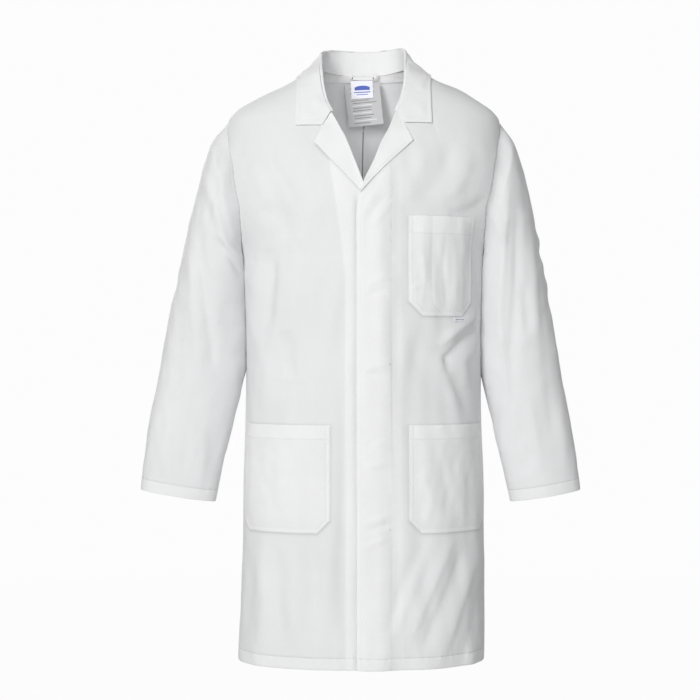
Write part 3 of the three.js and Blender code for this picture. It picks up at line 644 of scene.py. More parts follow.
# ------------------------------------------------------------------ cloth simulation
def hang(start, sewn, pin, inside, frames=42):
    """Let a tube of cloth hang over a form and return its settled grid.

    start, sewn (the cloth at rest) and inside (the form) are grids in mm; pin is 1 where held."""
    rows, columns = start.shape[:2]
    scene = bpy.context.scene
    sheet = mesh_from("hanging_cloth", start.reshape(-1, 3), grid_faces(rows, columns, True))
    sheet.shape_key_add(name="Basis")
    rest = sheet.shape_key_add(name="sewn")
    rest.data.foreach_set("co", metres(sewn.reshape(-1, 3)).astype(np.float32).ravel())
    group = sheet.vertex_groups.new(name="held")
    for i, weight in enumerate(pin.ravel()):
        if weight > 0:
            group.add([i], float(weight), "REPLACE")
    faces = grid_faces(*inside.shape[:2], True)
    support = mesh_from("hanging_form", inside.reshape(-1, 3), faces)
    support.modifiers.new("Collision", "COLLISION")
    support.collision.thickness_outer = 0.002
    support.collision.cloth_friction = 8
    modifier = sheet.modifiers.new("Cloth", "CLOTH")
    settings = modifier.settings
    settings.quality = 7
    settings.mass = 0.22
    settings.air_damping = 2.5
    settings.tension_stiffness = settings.compression_stiffness = 22
    settings.shear_stiffness = 6
    settings.tension_damping = settings.compression_damping = 12
    settings.shear_damping = 6
    settings.bending_stiffness = 0.45
    settings.bending_damping = 1.0
    settings.vertex_group_mass = "held"
    settings.pin_stiffness = 1.0
    settings.rest_shape_key = rest
    modifier.collision_settings.use_collision = True
    modifier.collision_settings.distance_min = 0.0025
    modifier.collision_settings.collision_quality = 2
    modifier.point_cache.frame_start, modifier.point_cache.frame_end = 1, frames
    scene.frame_start, scene.frame_end = 1, frames
    for step in range(1, frames + 1):
        scene.frame_set(step)
    settled = sheet.evaluated_get(bpy.context.evaluated_depsgraph_get())
    out = np.zeros(rows * columns * 3, np.float32)
    settled.data.vertices.foreach_get("co", out)
    scene.frame_set(1)
    for thing in (sheet, support):
        mesh = thing.data
        bpy.data.objects.remove(thing, do_unlink=True)
        bpy.data.meshes.remove(mesh)
    return out.reshape(rows, columns, 3).astype(float) * 1000.0 + SEAT


def hang_body():
    """Hang the coat from its shoulders over a slimmer form: heights, angles and relief."""
    rows_z = np.linspace(1, 925, 112)
    angles = np.linspace(-np.pi, np.pi, 132, endpoint=False)
    z, angle = np.meshgrid(rows_z, angles, indexing="ij")
    outward = form_normal(z, angle)
    base = form(z, angle)
    start = base + outward * (1.2 * noise(base, 70, 201, (1, 1, 5.0)))[..., None]
    # the cloth is sewn a little wider than the body, most of all low down
    middle_x, middle_y = centre_x(z), SECTION_CURVES[3](z)
    grow = 1.0 + 0.035 * smooth((880 - z) / 500)
    sewn = start.copy()
    sewn[..., 0] = middle_x + (start[..., 0] - middle_x) * grow
    sewn[..., 1] = middle_y + (start[..., 1] - middle_y) * grow
    slimmer = 5 + 15 * bell(z - 560, 260) + 8 * smooth((300 - z) / 300)
    inside = base - outward * slimmer[..., None]
    # held at the shoulders and down the front closure
    closure = (np.cos(angle) > 0.2) & (np.abs(base[..., 0] - 10) < 46)
    pin = np.maximum(np.where(z > 880, 1.0, 0.0), np.where(closure, 1.0, 0.0))
    settled = hang(start, sewn, pin, inside)
    relief = ((settled - base) * outward).sum(-1)
    below = smooth((925 - z) / 130)
    relief = np.clip(relief, -11, 9) * ((1 - 0.72 * smooth(np.cos(angle) / 0.4)) * below)
    # take most of the mean out of each height, so that the coat keeps its girth
    relief = relief - 0.8 * relief.mean(1, keepdims=True) * below
    for _ in range(2):
        relief[1:-1] = 0.25 * relief[:-2] + 0.5 * relief[1:-1] + 0.25 * relief[2:]
        relief = 0.2 * np.roll(relief, 1, 1) + 0.6 * relief + 0.2 * np.roll(relief, -1, 1)
    return rows_z, angles, relief


RELIEF = hang_body()


# ------------------------------------------------------------------ materials
def feed(tree, node, inputs):
    """Set a node's inputs; a node or a socket given as a value is linked instead."""
    for key, value in inputs.items():
        if isinstance(value, bpy.types.Node):
            value = value.outputs[0]
        if isinstance(value, bpy.types.NodeSocket):
            tree.links.new(value, node.inputs[key])
        else:
            node.inputs[key].default_value = value


def add_node(tree, kind, inputs=None, **settings):
    node = tree.nodes.new("ShaderNode" + kind)
    for key, value in settings.items():
        setattr(node, key, value)
    feed(tree, node, inputs or {})
    return node


def add_math(tree, operation, *values):
    return add_node(tree, "Math", dict(enumerate(values)), operation=operation)


def add_remap(tree, value, low, high, from_low=0.0, from_high=1.0):
    limits = {"From Min": from_low, "From Max": from_high, "To Min": low, "To Max": high}
    return add_node(tree, "MapRange", {**limits, "Value": value})


def new_material(name):
    """Material, its node tree and its shader."""
    material = bpy.data.materials.new(name)
    material.use_nodes = True
    tree = material.node_tree
    return material, tree, next(n for n in tree.nodes if n.type == "BSDF_PRINCIPLED")


# directions, in u and v, of the two waves that make a weave's relief
DIAGONAL = ((0.55, 0.83), (1.7, -0.5))
SQUARE = ((1.0, 0.0), (0.0, 1.0))


def cloth(name, single, double, rough, pitch, sheen, bump, weave=SQUARE):
    """Woven cloth. single and double are its colours in one ply and two; pitch is the weave's in mm."""
    material, tree, shader = new_material(name)
    place = add_node(tree, "TexCoord").outputs["Object"]
    ply_and_shade = add_node(tree, "Attribute", attribute_name="ply_and_shade").outputs["Fac"]
    colours = {0: ply_and_shade, 6: (*single, 1), 7: (*double, 1)}
    tone = add_node(tree, "Mix", colours, data_type="RGBA").outputs[2]
    # faint cloudiness and uneven yarn
    cloud = add_node(tree, "TexNoise", {"Scale": 9.0, "Detail": 3.0, "Vector": place})
    fibre = add_node(tree, "TexNoise", {"Scale": 900.0, "Detail": 2.0, "Vector": place})
    cloud_shade = add_remap(tree, cloud, low=0.975, high=1.012, from_low=0.3, from_high=0.7)
    fibre_shade = add_remap(tree, fibre, low=0.97, high=1.02, from_low=0.25, from_high=0.75)
    uneven = add_math(tree, "MULTIPLY", cloud_shade, fibre_shade)
    # below nought the ply value is painted shade, laid in creases, along seams and stitched lines and under
    # edges, which darkens the colour
    painted_crease_shade = add_math(tree, "MULTIPLY_ADD", add_math(tree, "MINIMUM", ply_and_shade, 0.0), 0.42, 1.0)
    shade = add_math(tree, "MULTIPLY", uneven, painted_crease_shade)
    colour = add_node(tree, "VectorMath", {0: tone, "Scale": shade}, operation="SCALE")
    # weave relief; UVs are in mm
    uv = add_node(tree, "UVMap", uv_map="cloth")
    split = add_node(tree, "SeparateXYZ", {0: uv})
    waves = []
    for direction in weave:
        parts = []
        for output, share in zip(split.outputs, direction):
            parts.append(add_math(tree, "MULTIPLY", output, share * 2 * math.pi / pitch))
        waves.append(add_math(tree, "SINE", add_math(tree, "ADD", *parts)))
    relief = add_math(tree, "MULTIPLY_ADD", waves[1], 0.4, waves[0])
    relief = add_math(tree, "MULTIPLY_ADD", fibre, 1.6, relief)
    woven = add_node(tree, "Bump", {"Strength": bump, "Distance": 0.00012, "Height": relief})
    # slow crumple
    crumple = add_node(tree, "TexNoise", {
        "Scale": 55.0, "Detail": 2.5, "Roughness": 0.55, "Vector": place,
    })
    crumpled = add_node(tree, "Bump", {
        "Strength": 0.16, "Distance": 0.0012, "Height": crumple, "Normal": woven,
    })
    feed(tree, shader, {
        "Base Color": colour, "Roughness": rough, "Specular IOR Level": 0.25,
        "Sheen Weight": sheen, "Sheen Roughness": 0.5, "Normal": crumpled,
    })
    return material


def plain(name, colour, rough, grain, scale, metal=0.0):
    """Material of one colour, mottled by grain at a noise scale."""
    material, tree, shader = new_material(name)
    place = add_node(tree, "TexCoord").outputs["Object"]
    mottle = add_node(tree, "TexNoise", {"Scale": scale, "Vector": place})
    shade = add_remap(tree, mottle, low=1 - grain, high=1 + grain)
    shaded = add_node(tree, "VectorMath", {0: colour, "Scale": shade}, operation="SCALE")
    bump = add_node(tree, "Bump", {"Strength": 0.25, "Distance": 0.0001, "Height": mottle})
    feed(tree, shader, {
        "Base Color": shaded, "Roughness": rough, "Metallic": metal, "Normal": bump,
    })
    return material


TWILL = cloth("white_twill", single=(0.80, 0.805, 0.812), double=(0.875, 0.878, 0.884),
              rough=0.85, pitch=0.55, sheen=0.12, bump=0.22, weave=DIAGONAL)
THREAD = plain("sewing_thread", (0.86, 0.865, 0.875), rough=0.45, grain=0.05, scale=900)
TAPE = cloth("white_tape", single=(0.86, 0.86, 0.87), double=(0.9, 0.9, 0.9),
             rough=0.7, pitch=0.9, sheen=0.2, bump=0.64)
SATIN = cloth("label_satin", single=(0.82, 0.84, 0.93), double=(0.9, 0.9, 0.96),
              rough=0.42, pitch=0.35, sheen=0.1, bump=0.21)
CARE = cloth("care_satin", single=(0.50, 0.50, 0.515), double=(0.6, 0.6, 0.6),
             rough=0.55, pitch=0.35, sheen=0.1, bump=0.21)
BLUE = plain("label_blue", (0.05, 0.10, 0.47), rough=0.5, grain=0.12, scale=900)
INK = plain("label_ink", (0.27, 0.27, 0.29), rough=0.6, grain=0.1, scale=700)
PALE = plain("label_pale", (0.74, 0.74, 0.76), rough=0.6, grain=0.06, scale=700)
NICKEL = plain("nickel", (0.72, 0.72, 0.74), rough=0.26, grain=0.04, scale=120, metal=1.0)
# the loop's bar tacks are drawn dark grey
DARK_GREY_TACKS = plain("dark_grey_tacks", (0.17, 0.17, 0.19), rough=0.5, grain=0.05, scale=900)


# ------------------------------------------------------------------ sheets laid on the body
# Places on a sheet: height, angle, distances from its first and second edge, and x
Spot = namedtuple("Spot", "z angle start end x")
EDGE_STEPS = (0, 0.5, 1.2, 2.2, 4.0, 7.0)  # distances of the columns next to an edge


def heights(low, high, step, fine=()):
    """Row heights, with extra rows within a reach of each (centre, reach) in fine."""
    rows = list(np.arange(low, high, step)) + [high]
    for centre, reach in fine:
        rows += [centre + reach * share for share in (-1, -0.45, 0, 0.45, 1)]
    rows = sorted(z for z in rows if low <= z <= high)
    out = [rows[0]]
    for z in rows[1:]:
        if z - out[-1] > 0.35:
            out.append(z)
    if out[-1] < high:
        out[-1] = high
    return np.array(out, float)


def columns_between(rows_z, first, second, count, edge_steps):
    """Angles of the columns, their distances from the first edge, and the width at each height."""
    angles = first[:, None] + (second - first)[:, None] * np.linspace(0, 1, 201)
    run = run_length(form(rows_z[:, None], angles), 1)
    width = run[:, -1]
    steps = np.array(edge_steps, float)
    near = steps[None] * np.minimum(1, width / (4 * steps[-1]))[:, None]
    middle = near[:, -1:] + (width[:, None] - 2 * near[:, -1:]) * np.linspace(0, 1, count)[None]
    far = width[:, None] - near[:, :-1][:, ::-1]
    place = np.concatenate([near[:, :-1], middle, far], 1)
    angle = np.stack([np.interp(place[i], run[i], angles[i]) for i in range(len(rows_z))])
    return angle, place, width


def on_body(name, rows_z, first, second, count, faces, shape=0.0, ply_and_shade=1.0, material=TWILL,
            edge_steps=EDGE_STEPS):
    """Sheet between two angles of the body.

    faces holds the offsets of its inner and outer face from shape. Each of these, shape and ply
    is a number or a function of the spots."""
    angle, start, width = columns_between(rows_z, first, second, count, edge_steps)
    z = np.broadcast_to(rows_z[:, None], angle.shape)
    spots = Spot(z, angle, start, width[:, None] - start, form(z, angle)[..., 0])

    def value(given):
        return np.broadcast_to(given(spots) if callable(given) else given, angle.shape)

    outward = form_normal(z, angle)
    base = body(z, angle)
    shaped = value(shape)
    inner, outer = (base + outward * (shaped + value(face))[..., None] for face in faces)
    return shell(name, outer, inner, material, np.stack([start, z], -1), value(ply_and_shade))


def hem_shape(z):
    return -0.45 * bell(z - HEM, 1.3) - 0.5 * bell(z, 0.8)


def hem_ply(z):
    return 0.6 * smooth((20.5 - z) / 1)


# ------------------------------------------------------------------ fronts
# Side slits: how far the edge draws back, how far the cloth lifts there, and over what reach
Slit = namedtuple("Slit", "gap lift reach")
SLITS = {1: Slit(3.5, 0.9, 22), -1: Slit(11.0, -4.5, 34)}
FRONT_STITCH_X = 49.0  # the long stitched line down the left front
LAPEL_FOOT = 800.0

# seed is for the cloth's unevenness; pen is the distance of the upright dividing seam
Pocket = namedtuple("Pocket", "name side low high inner_x width cut hem pen seed")
POCKETS = [
    Pocket("chest_patch_pocket", 1, 596, 766, 80, 125, 24, 30, 40, 1),
    Pocket("lower_patch_pocket_left", 1, 229, 411, 80, 165, 22, 24, None, 2),
    Pocket("lower_patch_pocket_right", -1, 229, 411, 53, 176, 22, 24, None, 3),
]


def slit(z):
    """1 where the side slit is open."""
    return smooth((SLIT_TOP - z) / 30)


def over_lift(z, x):
    """How far the upper (left) front stands off, to make room for the fly and the studs."""
    top = 1 - smooth((z - LAPEL_FOOT) / 60)
    return (3.0 + 2.8 * smooth((x + 8) / 9)) * smooth((62 - x) / 34) * top


def front_lift(side, z, x):
    """Lift of the left front over the fly, or of the right front over its facing."""
    if side > 0:
        return over_lift(z, x)
    return 0.7 * smooth((x - facing_x(z) + 2) / 4) * (1 - smooth((z - 860) / 60))


def pocket_shade(side, z, start, edge):
    """Soft shade on the cloth just outside a patch pocket, deepest under its bottom edge."""
    shade = 0
    for pocket in POCKETS:
        if pocket.side != side:
            continue
        place = start - np.abs(side * pocket.inner_x - edge)
        up = z - pocket.low
        corner = (pocket.cut - np.minimum(place, pocket.width - place) - up) * 0.707
        under = np.maximum(-up, corner)
        beside = np.maximum(-place, place - pocket.width)
        outside = np.maximum(np.maximum(under, beside), z - pocket.high)
        strength = 0.55 + 0.45 * smooth((under - beside + 3) / 6)
        here = strength * bell(np.maximum(outside, 0), 3.6) * (z < pocket.high + 1)
        shade = np.maximum(shade, here)
    return shade


def front_panel(side):
    rows_z = heights(0, 1037, 3.4, [(0.4, 0.4), (HEM, 2.2), (ARM_LOW, 4), (ARM_HIGH, 6)])
    opening = SLITS[side]
    first = angle_at(rows_z, edge_x[side](rows_z))
    gap = (SEAM_GAP + opening.gap * slit(rows_z)) / np.maximum(60, half_width_at(rows_z))
    second = side * (seam_angle(rows_z, False) - gap)

    def shape(spot):
        z, x = spot.z, spot.x
        seam = 0.8 * bell(spot.end, 1.8) * (1 - 0.6 * slit(z)) * (1 - 0.55 * smooth((z - 700) / 20))
        off = hem_shape(z) - seam - 0.35 * bell(spot.end - 14, 1.1) * (z < 140) * slit(z)
        off -= 0.35 * bell(spot.start, 0.7)
        off += opening.lift * slit(z) * bell(spot.end, opening.reach)
        off += armhole_pucker(spot, 41) + front_lift(side, z, x)
        if side > 0:
            low = 1 - smooth((z - 790) / 20)
            stitched = x - FRONT_STITCH_X
            off -= (0.5 * bell(stitched, 1.3) + 0.25 * bell(spot.start - 7, 1.0)) * low
            off += pucker(stitched, z, height=0.35, pitch=15, reach=9, seed=42) * low
        else:
            # the cloth sinks under the upper front's edge
            off -= 2.6 * bell(x + 7, 5.5) * (1 - smooth((z - 780) / 30))
        return off

    def ply_and_shade(spot):
        z, x = spot.z, spot.x
        if side > 0:
            out = smooth((50 - x) / 2) + 0.45 * smooth((70 - x) / 3) * smooth((x - 50) / 2)
        else:
            out = smooth((x - facing_x(z) + 2) / 4)
        out = np.maximum(out, hem_ply(z))
        # painted shade along the left front's stitched line, and a painted shadow in the gap under the upper
        # front's edge on the right
        if side > 0:
            out -= 0.55 * bell(x - FRONT_STITCH_X, 0.9)
        else:
            out -= 1.15 * bell(x + 9.4, 1.7) * (1 - smooth((z - 790) / 30))
        # painted shade under the lapel's edge, round the pockets, along the side seam and along the hem's
        # stitched line
        under = side * (x - COLLAR_X) - np.interp(z, LAPELS[side][:, 0], LAPELS[side][:, 1])
        shade = bell(np.maximum(under, 0), 5.0) * smooth((z - LAPEL_FOOT) / 12)
        shade = shade * (1 - smooth((z - 886) / 10))
        out = out * (1 - shade) - (0.12 if side > 0 else 0.5) * shade
        out -= 0.5 * pocket_shade(side, z, spot.start, edge_x[side](z))
        seam = np.where(z > ARM_LOW, 0.12 if side < 0 else 0.4, 0.5)
        return out - seam * bell(spot.end, 1.8) - 0.5 * bell(z - HEM, 0.8)

    name = "front_" + SIDES[side]
    return on_body(name, rows_z, first, second, 78, (0.1, 1.0), shape, ply_and_shade)


def left_facing():
    rows_z = heights(2, 884, 6, [(2.4, 0.4)])
    share = (rows_z - FOLD_BOTTOM[1]) / (FOLD_TOP[1] - FOLD_BOTTOM[1])
    fold_x = FOLD_BOTTOM[0] + (FOLD_TOP[0] - FOLD_BOTTOM[0]) * share
    first = angle_at(rows_z, np.maximum(32, edge_x[1](rows_z) + 4))
    second = angle_at(rows_z, np.minimum(80, fold_x - 4))
    return on_body("facing_left", rows_z, first, second, 14, (-1.5, -0.7),
                   shape=lambda spot: over_lift(spot.z, spot.x) * 0.85)


def right_facing():
    rows_z = heights(2, 884, 6, [(2.4, 0.4)])
    first = angle_at(rows_z, np.minimum(20, edge_x[-1](rows_z) - 3))
    second = angle_at(rows_z, facing_x(rows_z))
    return on_body("facing_right", rows_z, first, second, 14, (-1.5, -0.8))


def fly_strip():
    rows_z = heights(58, 792, 6, [(60, 1), (790, 1)])
    first, second = angle_at(rows_z, -5), angle_at(rows_z, 27)
    return on_body("fly_strip_cloth", rows_z, first, second, 12, (3.25, 4.2))


front = {side: front_panel(side) for side in SIDES}
facing_left, facing_right = left_facing(), right_facing()
fly = fly_strip()

# ------------------------------------------------------------------ press studs
STUD_X = 7.0
STUD_HEIGHTS = np.array([730.0, 585.0, 442.0, 305.0, 168.0])
STUD_SEGMENTS = 40
# Turned profiles: radius, height in front of the cloth's surface
STUD_PROFILE = [
    [0.02, 0.8], [4.6, 0.8], [5, 0.95], [4.9, 1.2], [4.2, 1.35], [2.3, 1.3],
    [1.75, 1.6], [1.9, 2.1], [1.75, 2.45], [1.2, 2.7], [0.02, 2.72],
]
RIVET_PROFILE = [
    [0.02, -3.3], [4.5, -3.25], [5, -3.0], [4.9, -2.75], [1.4, -2.7], [1.4, 0.5], [0.02, 0.55],
]
RING_PROFILE = [
    [2.6, 1.6], [3.2, 1.5], [4.9, 1.5], [5.4, 1.8], [5.4, 2.5],
    [5.0, 2.8], [2.9, 2.8], [2.6, 2.6], [2.6, 1.6],
]
CAP_PROFILE = [
    [0.02, 3.15], [2.0, 3.15], [2.0, 4.5], [4.8, 4.55], [5, 4.8], [4.6, 5.15], [3.4, 5.25],
    [0.02, 5.25],
]


def studs(name, profile):
    """One turned part at every stud."""
    radius, rise = np.array(profile, float).T[..., None]
    turn = np.linspace(0, 2 * np.pi, STUD_SEGMENTS, endpoint=False)
    surface_y = body(STUD_HEIGHTS, angle_at(STUD_HEIGHTS, STUD_X))[:, 1]
    quads = grid_faces(len(profile), STUD_SEGMENTS, True)
    vertices, faces = [], []
    for k, (z, y) in enumerate(zip(STUD_HEIGHTS, surface_y)):
        x = STUD_X + radius * np.cos(turn)
        rings = np.broadcast_arrays(x, y - rise, z + radius * np.sin(turn))
        vertices.append(np.stack(rings, -1).reshape(-1, 3))
        faces.append(quads + k * len(profile) * STUD_SEGMENTS)
    return mesh_from(name, np.concatenate(vertices), np.concatenate(faces), None, NICKEL, 35)


stud_faces = studs("press_studs", STUD_PROFILE)
rivets = studs("stud_rivets", RIVET_PROFILE)
rings = studs("sockets_rings", RING_PROFILE)
caps = studs("socket_caps_metal", CAP_PROFILE)


# ------------------------------------------------------------------ back
VENT_STITCH = 22.0  # from the vent's edge
VENT_LIFT = 1.7  # the left side of the vent stands off, the right side sinks


def vent_lap(z):
    """How far each side of the back passes the centre at the vent."""
    return 18 * np.clip(1 - z / VENT_TOP, 0, 1)


def vent_open(z):
    return smooth((VENT_TOP - z) / 24)


def vent_edge(z, side):
    """x of the inner edge of a back panel."""
    return centre_x(z) - side * vent_lap(z)


def back_panel(side):
    fine = [(0.4, 0.4), (HEM, 2.2), (VENT_TOP, 5), (ARM_LOW, 4), (ARM_HIGH, 6)]
    rows_z = heights(0, 1043, 3.4, fine)
    radius = np.maximum(60, half_width_at(rows_z))
    first = back_angle(rows_z, vent_edge(rows_z, side), side) - side * 0.03 / radius
    second = side * (seam_angle(rows_z, True) + SEAM_GAP / radius)

    def shape(spot):
        z, start, end = spot.z, spot.start, spot.end
        opening = vent_open(z)
        closed = 1 - opening
        off = hem_shape(z) - 0.8 * bell(end, 1.8) * (1 - slit(z)) - 1.1 * slit(z) * bell(end, 16)
        off += opening * side * VENT_LIFT * (1 - smooth((start - (vent_lap(z) + 8)) / 40))
        off -= 0.8 * bell(start, 1.8) * closed + 0.3 * bell(start, 0.7) * opening
        if side > 0:
            off -= 0.3 * bell(start - 6, 1.0) * closed
        off -= 0.35 * bell(start - VENT_STITCH, 1.1) * opening
        off += pucker(start, z, height=0.6, pitch=14, reach=12, seed=43) * closed
        return off + armhole_pucker(spot, 44)

    def ply_and_shade(spot):
        z = spot.z
        turned_in = smooth((VENT_TOP - z) / 10) * smooth((23 - spot.start) / 1.5)
        out = np.maximum(hem_ply(z), turned_in)
        # painted shade along the side seam and armhole, along the hem's stitched line and down the centre
        # back seam above the vent
        out -= 0.6 * bell(spot.end, 1.8) + 0.5 * bell(z - HEM, 0.8)
        return out - 0.5 * bell(spot.start, 1.5) * (z > VENT_TOP)

    name = "back_" + SIDES[side]
    return on_body(name, rows_z, first, second, 84, (0.1, 1.0), shape, ply_and_shade)


back = {side: back_panel(side) for side in SIDES}


# ------------------------------------------------------------------ lapels
def lapel(side):
    """Lapel leaf and the line of stitching inside its free edge."""
    outline = LAPELS[side]
    tip_z = outline[np.argmax(outline[:, 1]), 0]
    rows_z = heights(804.5, 950, 1.1, [(tip_z, 0.9)])
    x_out = COLLAR_X + side * np.interp(rows_z, outline[:, 0], outline[:, 1])
    x_roll = edge_x[side](rows_z)
    width = np.maximum(1.2, side * (x_out - x_roll))
    # stations across: a round turn at the roll line, then the leaf
    radius = np.minimum(1.25, width * 0.4)[:, None]
    turn = np.linspace(-0.5 * np.pi, 0.5 * np.pi, 9)
    across_turn = -np.cos(turn)[None] * radius
    lift_turn = 1.3 + (1 + np.sin(turn))[None] * radius * 0.9
    share = np.concatenate([np.linspace(0.02, 0.9, 36), [0.93, 0.95, 0.97, 0.982, 0.99, 0.996, 1.0]])
    across_leaf = share[None] * width[:, None]
    from_edge = width[:, None] - across_leaf
    # the leaf comes down from the roll to rest on the front, and lies flatter under the collar
    gorge = smooth((rows_z - 912) / 16)[:, None]
    billow = 0.9 * np.sin(np.pi * share)[None] * smooth(width / 30)[:, None]
    rest = 1.7 + billow * (1 - gorge) - 0.75 * gorge
    # the free edge curls up a little towards the point
    tip = bell(rows_z - tip_z, 22)[:, None]
    rest = rest + tip * 1.5 * smooth((share - 0.55) / 0.45)[None] * (1 - gorge)
    lift_leaf = rest + (1.3 + 1.8 * radius - rest) * np.exp(-across_leaf / 9.0)
    lift_leaf = lift_leaf - 0.32 * bell(from_edge - 6.5, 1.0) - 0.5 * bell(from_edge, 0.8)
    across = np.concatenate([across_turn, across_leaf], 1)
    lift = np.concatenate([lift_turn, lift_leaf], 1)
    x = x_roll[:, None] + side * across
    z = np.broadcast_to(rows_z[:, None], x.shape)
    angle = angle_at(z, x)
    if side > 0:
        lift = lift + over_lift(z, x)
    middle = body(z, angle) + form_normal(z, angle) * (lift + 0.55)[..., None]
    # the thickness turns with the roll
    facing = unit(np.cross(np.gradient(middle, axis=1), np.gradient(middle, axis=0))) * side
    edge = np.concatenate([9 + 0 * across_turn, from_edge], 1)
    half = facing * (0.55 - 0.2 * bell(edge, 0.7))[..., None]
    uv = np.stack([across * side, z], -1)
    name = "lapel_leaf_" + SIDES[side]
    thing = shell(name, middle - half, middle + half, TWILL, uv, 1.0)
    # stitching 6.5 mm in from the edge, below the point
    inset = width - 6.5
    rows = np.where((rows_z > 812) & (rows_z < tip_z - 3) & (inset > 1.5))[0]
    line_z, line_x = rows_z[rows], x_roll[rows] + side * inset[rows]
    first = len(turn)
    over = np.array([np.interp(inset[i], across[i][first:], lift[i][first:]) for i in rows])
    return thing, [body_line(line_z, angle_at(line_z, line_x), over + 1.12)]


lapels = {side: lapel(side) for side in SIDES}

# ------------------------------------------------------------------ collar
# Stations from the centre back to the front end, each x (from the collar's middle), y, z of the
# neck seam, the top fold and the leaf's outer edge
COLLAR = [
    [[0, 80, 1041], [0, 86, 1084], [0, 103, 1034]],
    [[22, 78, 1041], [23, 84, 1085], [27, 101, 1033]],
    [[42, 71, 1041], [44, 77, 1086], [55, 95, 1031]],
    [[61, 56, 1041], [62, 60, 1086], [80, 80, 1027]],
    [[74, 36, 1041], [71.5, 36, 1081], [101, 50, 1026]],
    [[80, 14, 1040], [74, 12, 1070], [112, 16, 1024]],
    [[82, -14, 1032], [73, -12, 1050], [114, -16, 1012]],
    [[81, -36, 1014], [71.5, -38, 1026], [114.5, -44, 994]],
    [[77, -54, 988], [68.5, -58, 998], [115.5, -62, 974]],
    [[69, -66, 964], [62.5, -74, 972], [116.5, -78, 951]],
    [[57, -80, 946], [53, -84, 951], [117.5, -92, 927]],
]
# radius of the fold's turn at each station
FOLD_RADII = [2.3, 2.3, 2.3, 2.3, 2.3, 2.2, 2.1, 2.0, 1.9, 1.7, 1.5]
# how much the fold drops at some stations on the right
RIGHT_DROP = {2: 1.0, 3: 4.0, 4: 6.0, 5: 4.0, 6: 1.0}
# the leaf's front end, outward from the fold
GORGE = [[70.5, -92, 924.5], [94, -92, 926], [117.5, -92, 927]]
SKEW = 2.6  # the front end is higher on the left and lower on the right by this
# points round the turn: outward and upward, in radii
FOLD_TURN = [(0, -0.2), (0.55, 0.32), (1.15, 0.1), (1.6, -0.55), (1.95, -1.5)]
COLLAR_STITCH = 7.0  # inside the leaf's edge


def snap_half(point, side, offset):
    """snap() for a point whose x is measured outward from the collar's middle."""
    x, y, z = snap([COLLAR_X + side * point[0], point[1], point[2]], offset)
    return np.array([side * (x - COLLAR_X), y, z])


def collar_station(side, i):
    """Points of the stand and fold, and of the leaf, at one station."""
    neck, fold, edge = (np.array(point, float) for point in COLLAR[i])
    if side < 0:
        fold[2] -= RIGHT_DROP.get(i, 0.0)
    outward = edge - fold
    outward[2] = 0
    outward = outward / np.linalg.norm(outward)
    if i < 6:
        neck[2] -= 1.5
    neck = snap_half(neck, side, -0.5)
    radius = FOLD_RADII[i]
    up = np.array([0, 0, 1.0])
    steep = min(1.0, np.linalg.norm(fold - neck) / 25.0)
    stand = [neck, neck + 0.55 * (fold - neck) - outward * 0.9 * steep]
    stand.append(fold - up * radius - outward * 0.1)
    stand += [fold + outward * radius * out + up * radius * rise for out, rise in FOLD_TURN]
    over = stand[-1]
    shares = np.linspace(0, 1, 13)
    if i == len(COLLAR) - 1:
        end = [over]
        for x, y, z in GORGE:
            raised = z + SKEW * side * smooth((x - 55) / 15)
            end.append(snap_half([x, y, raised], side, 3.3))
        return np.array(stand), resample(np.array(end), shares)
    if i >= 5:
        edge[2] += SKEW * side * (i - 5) / 5.0
    if i >= 4:
        edge = snap_half(edge, side, 3.2)
    return np.array(stand), over + (edge - over) * shares[:, None]


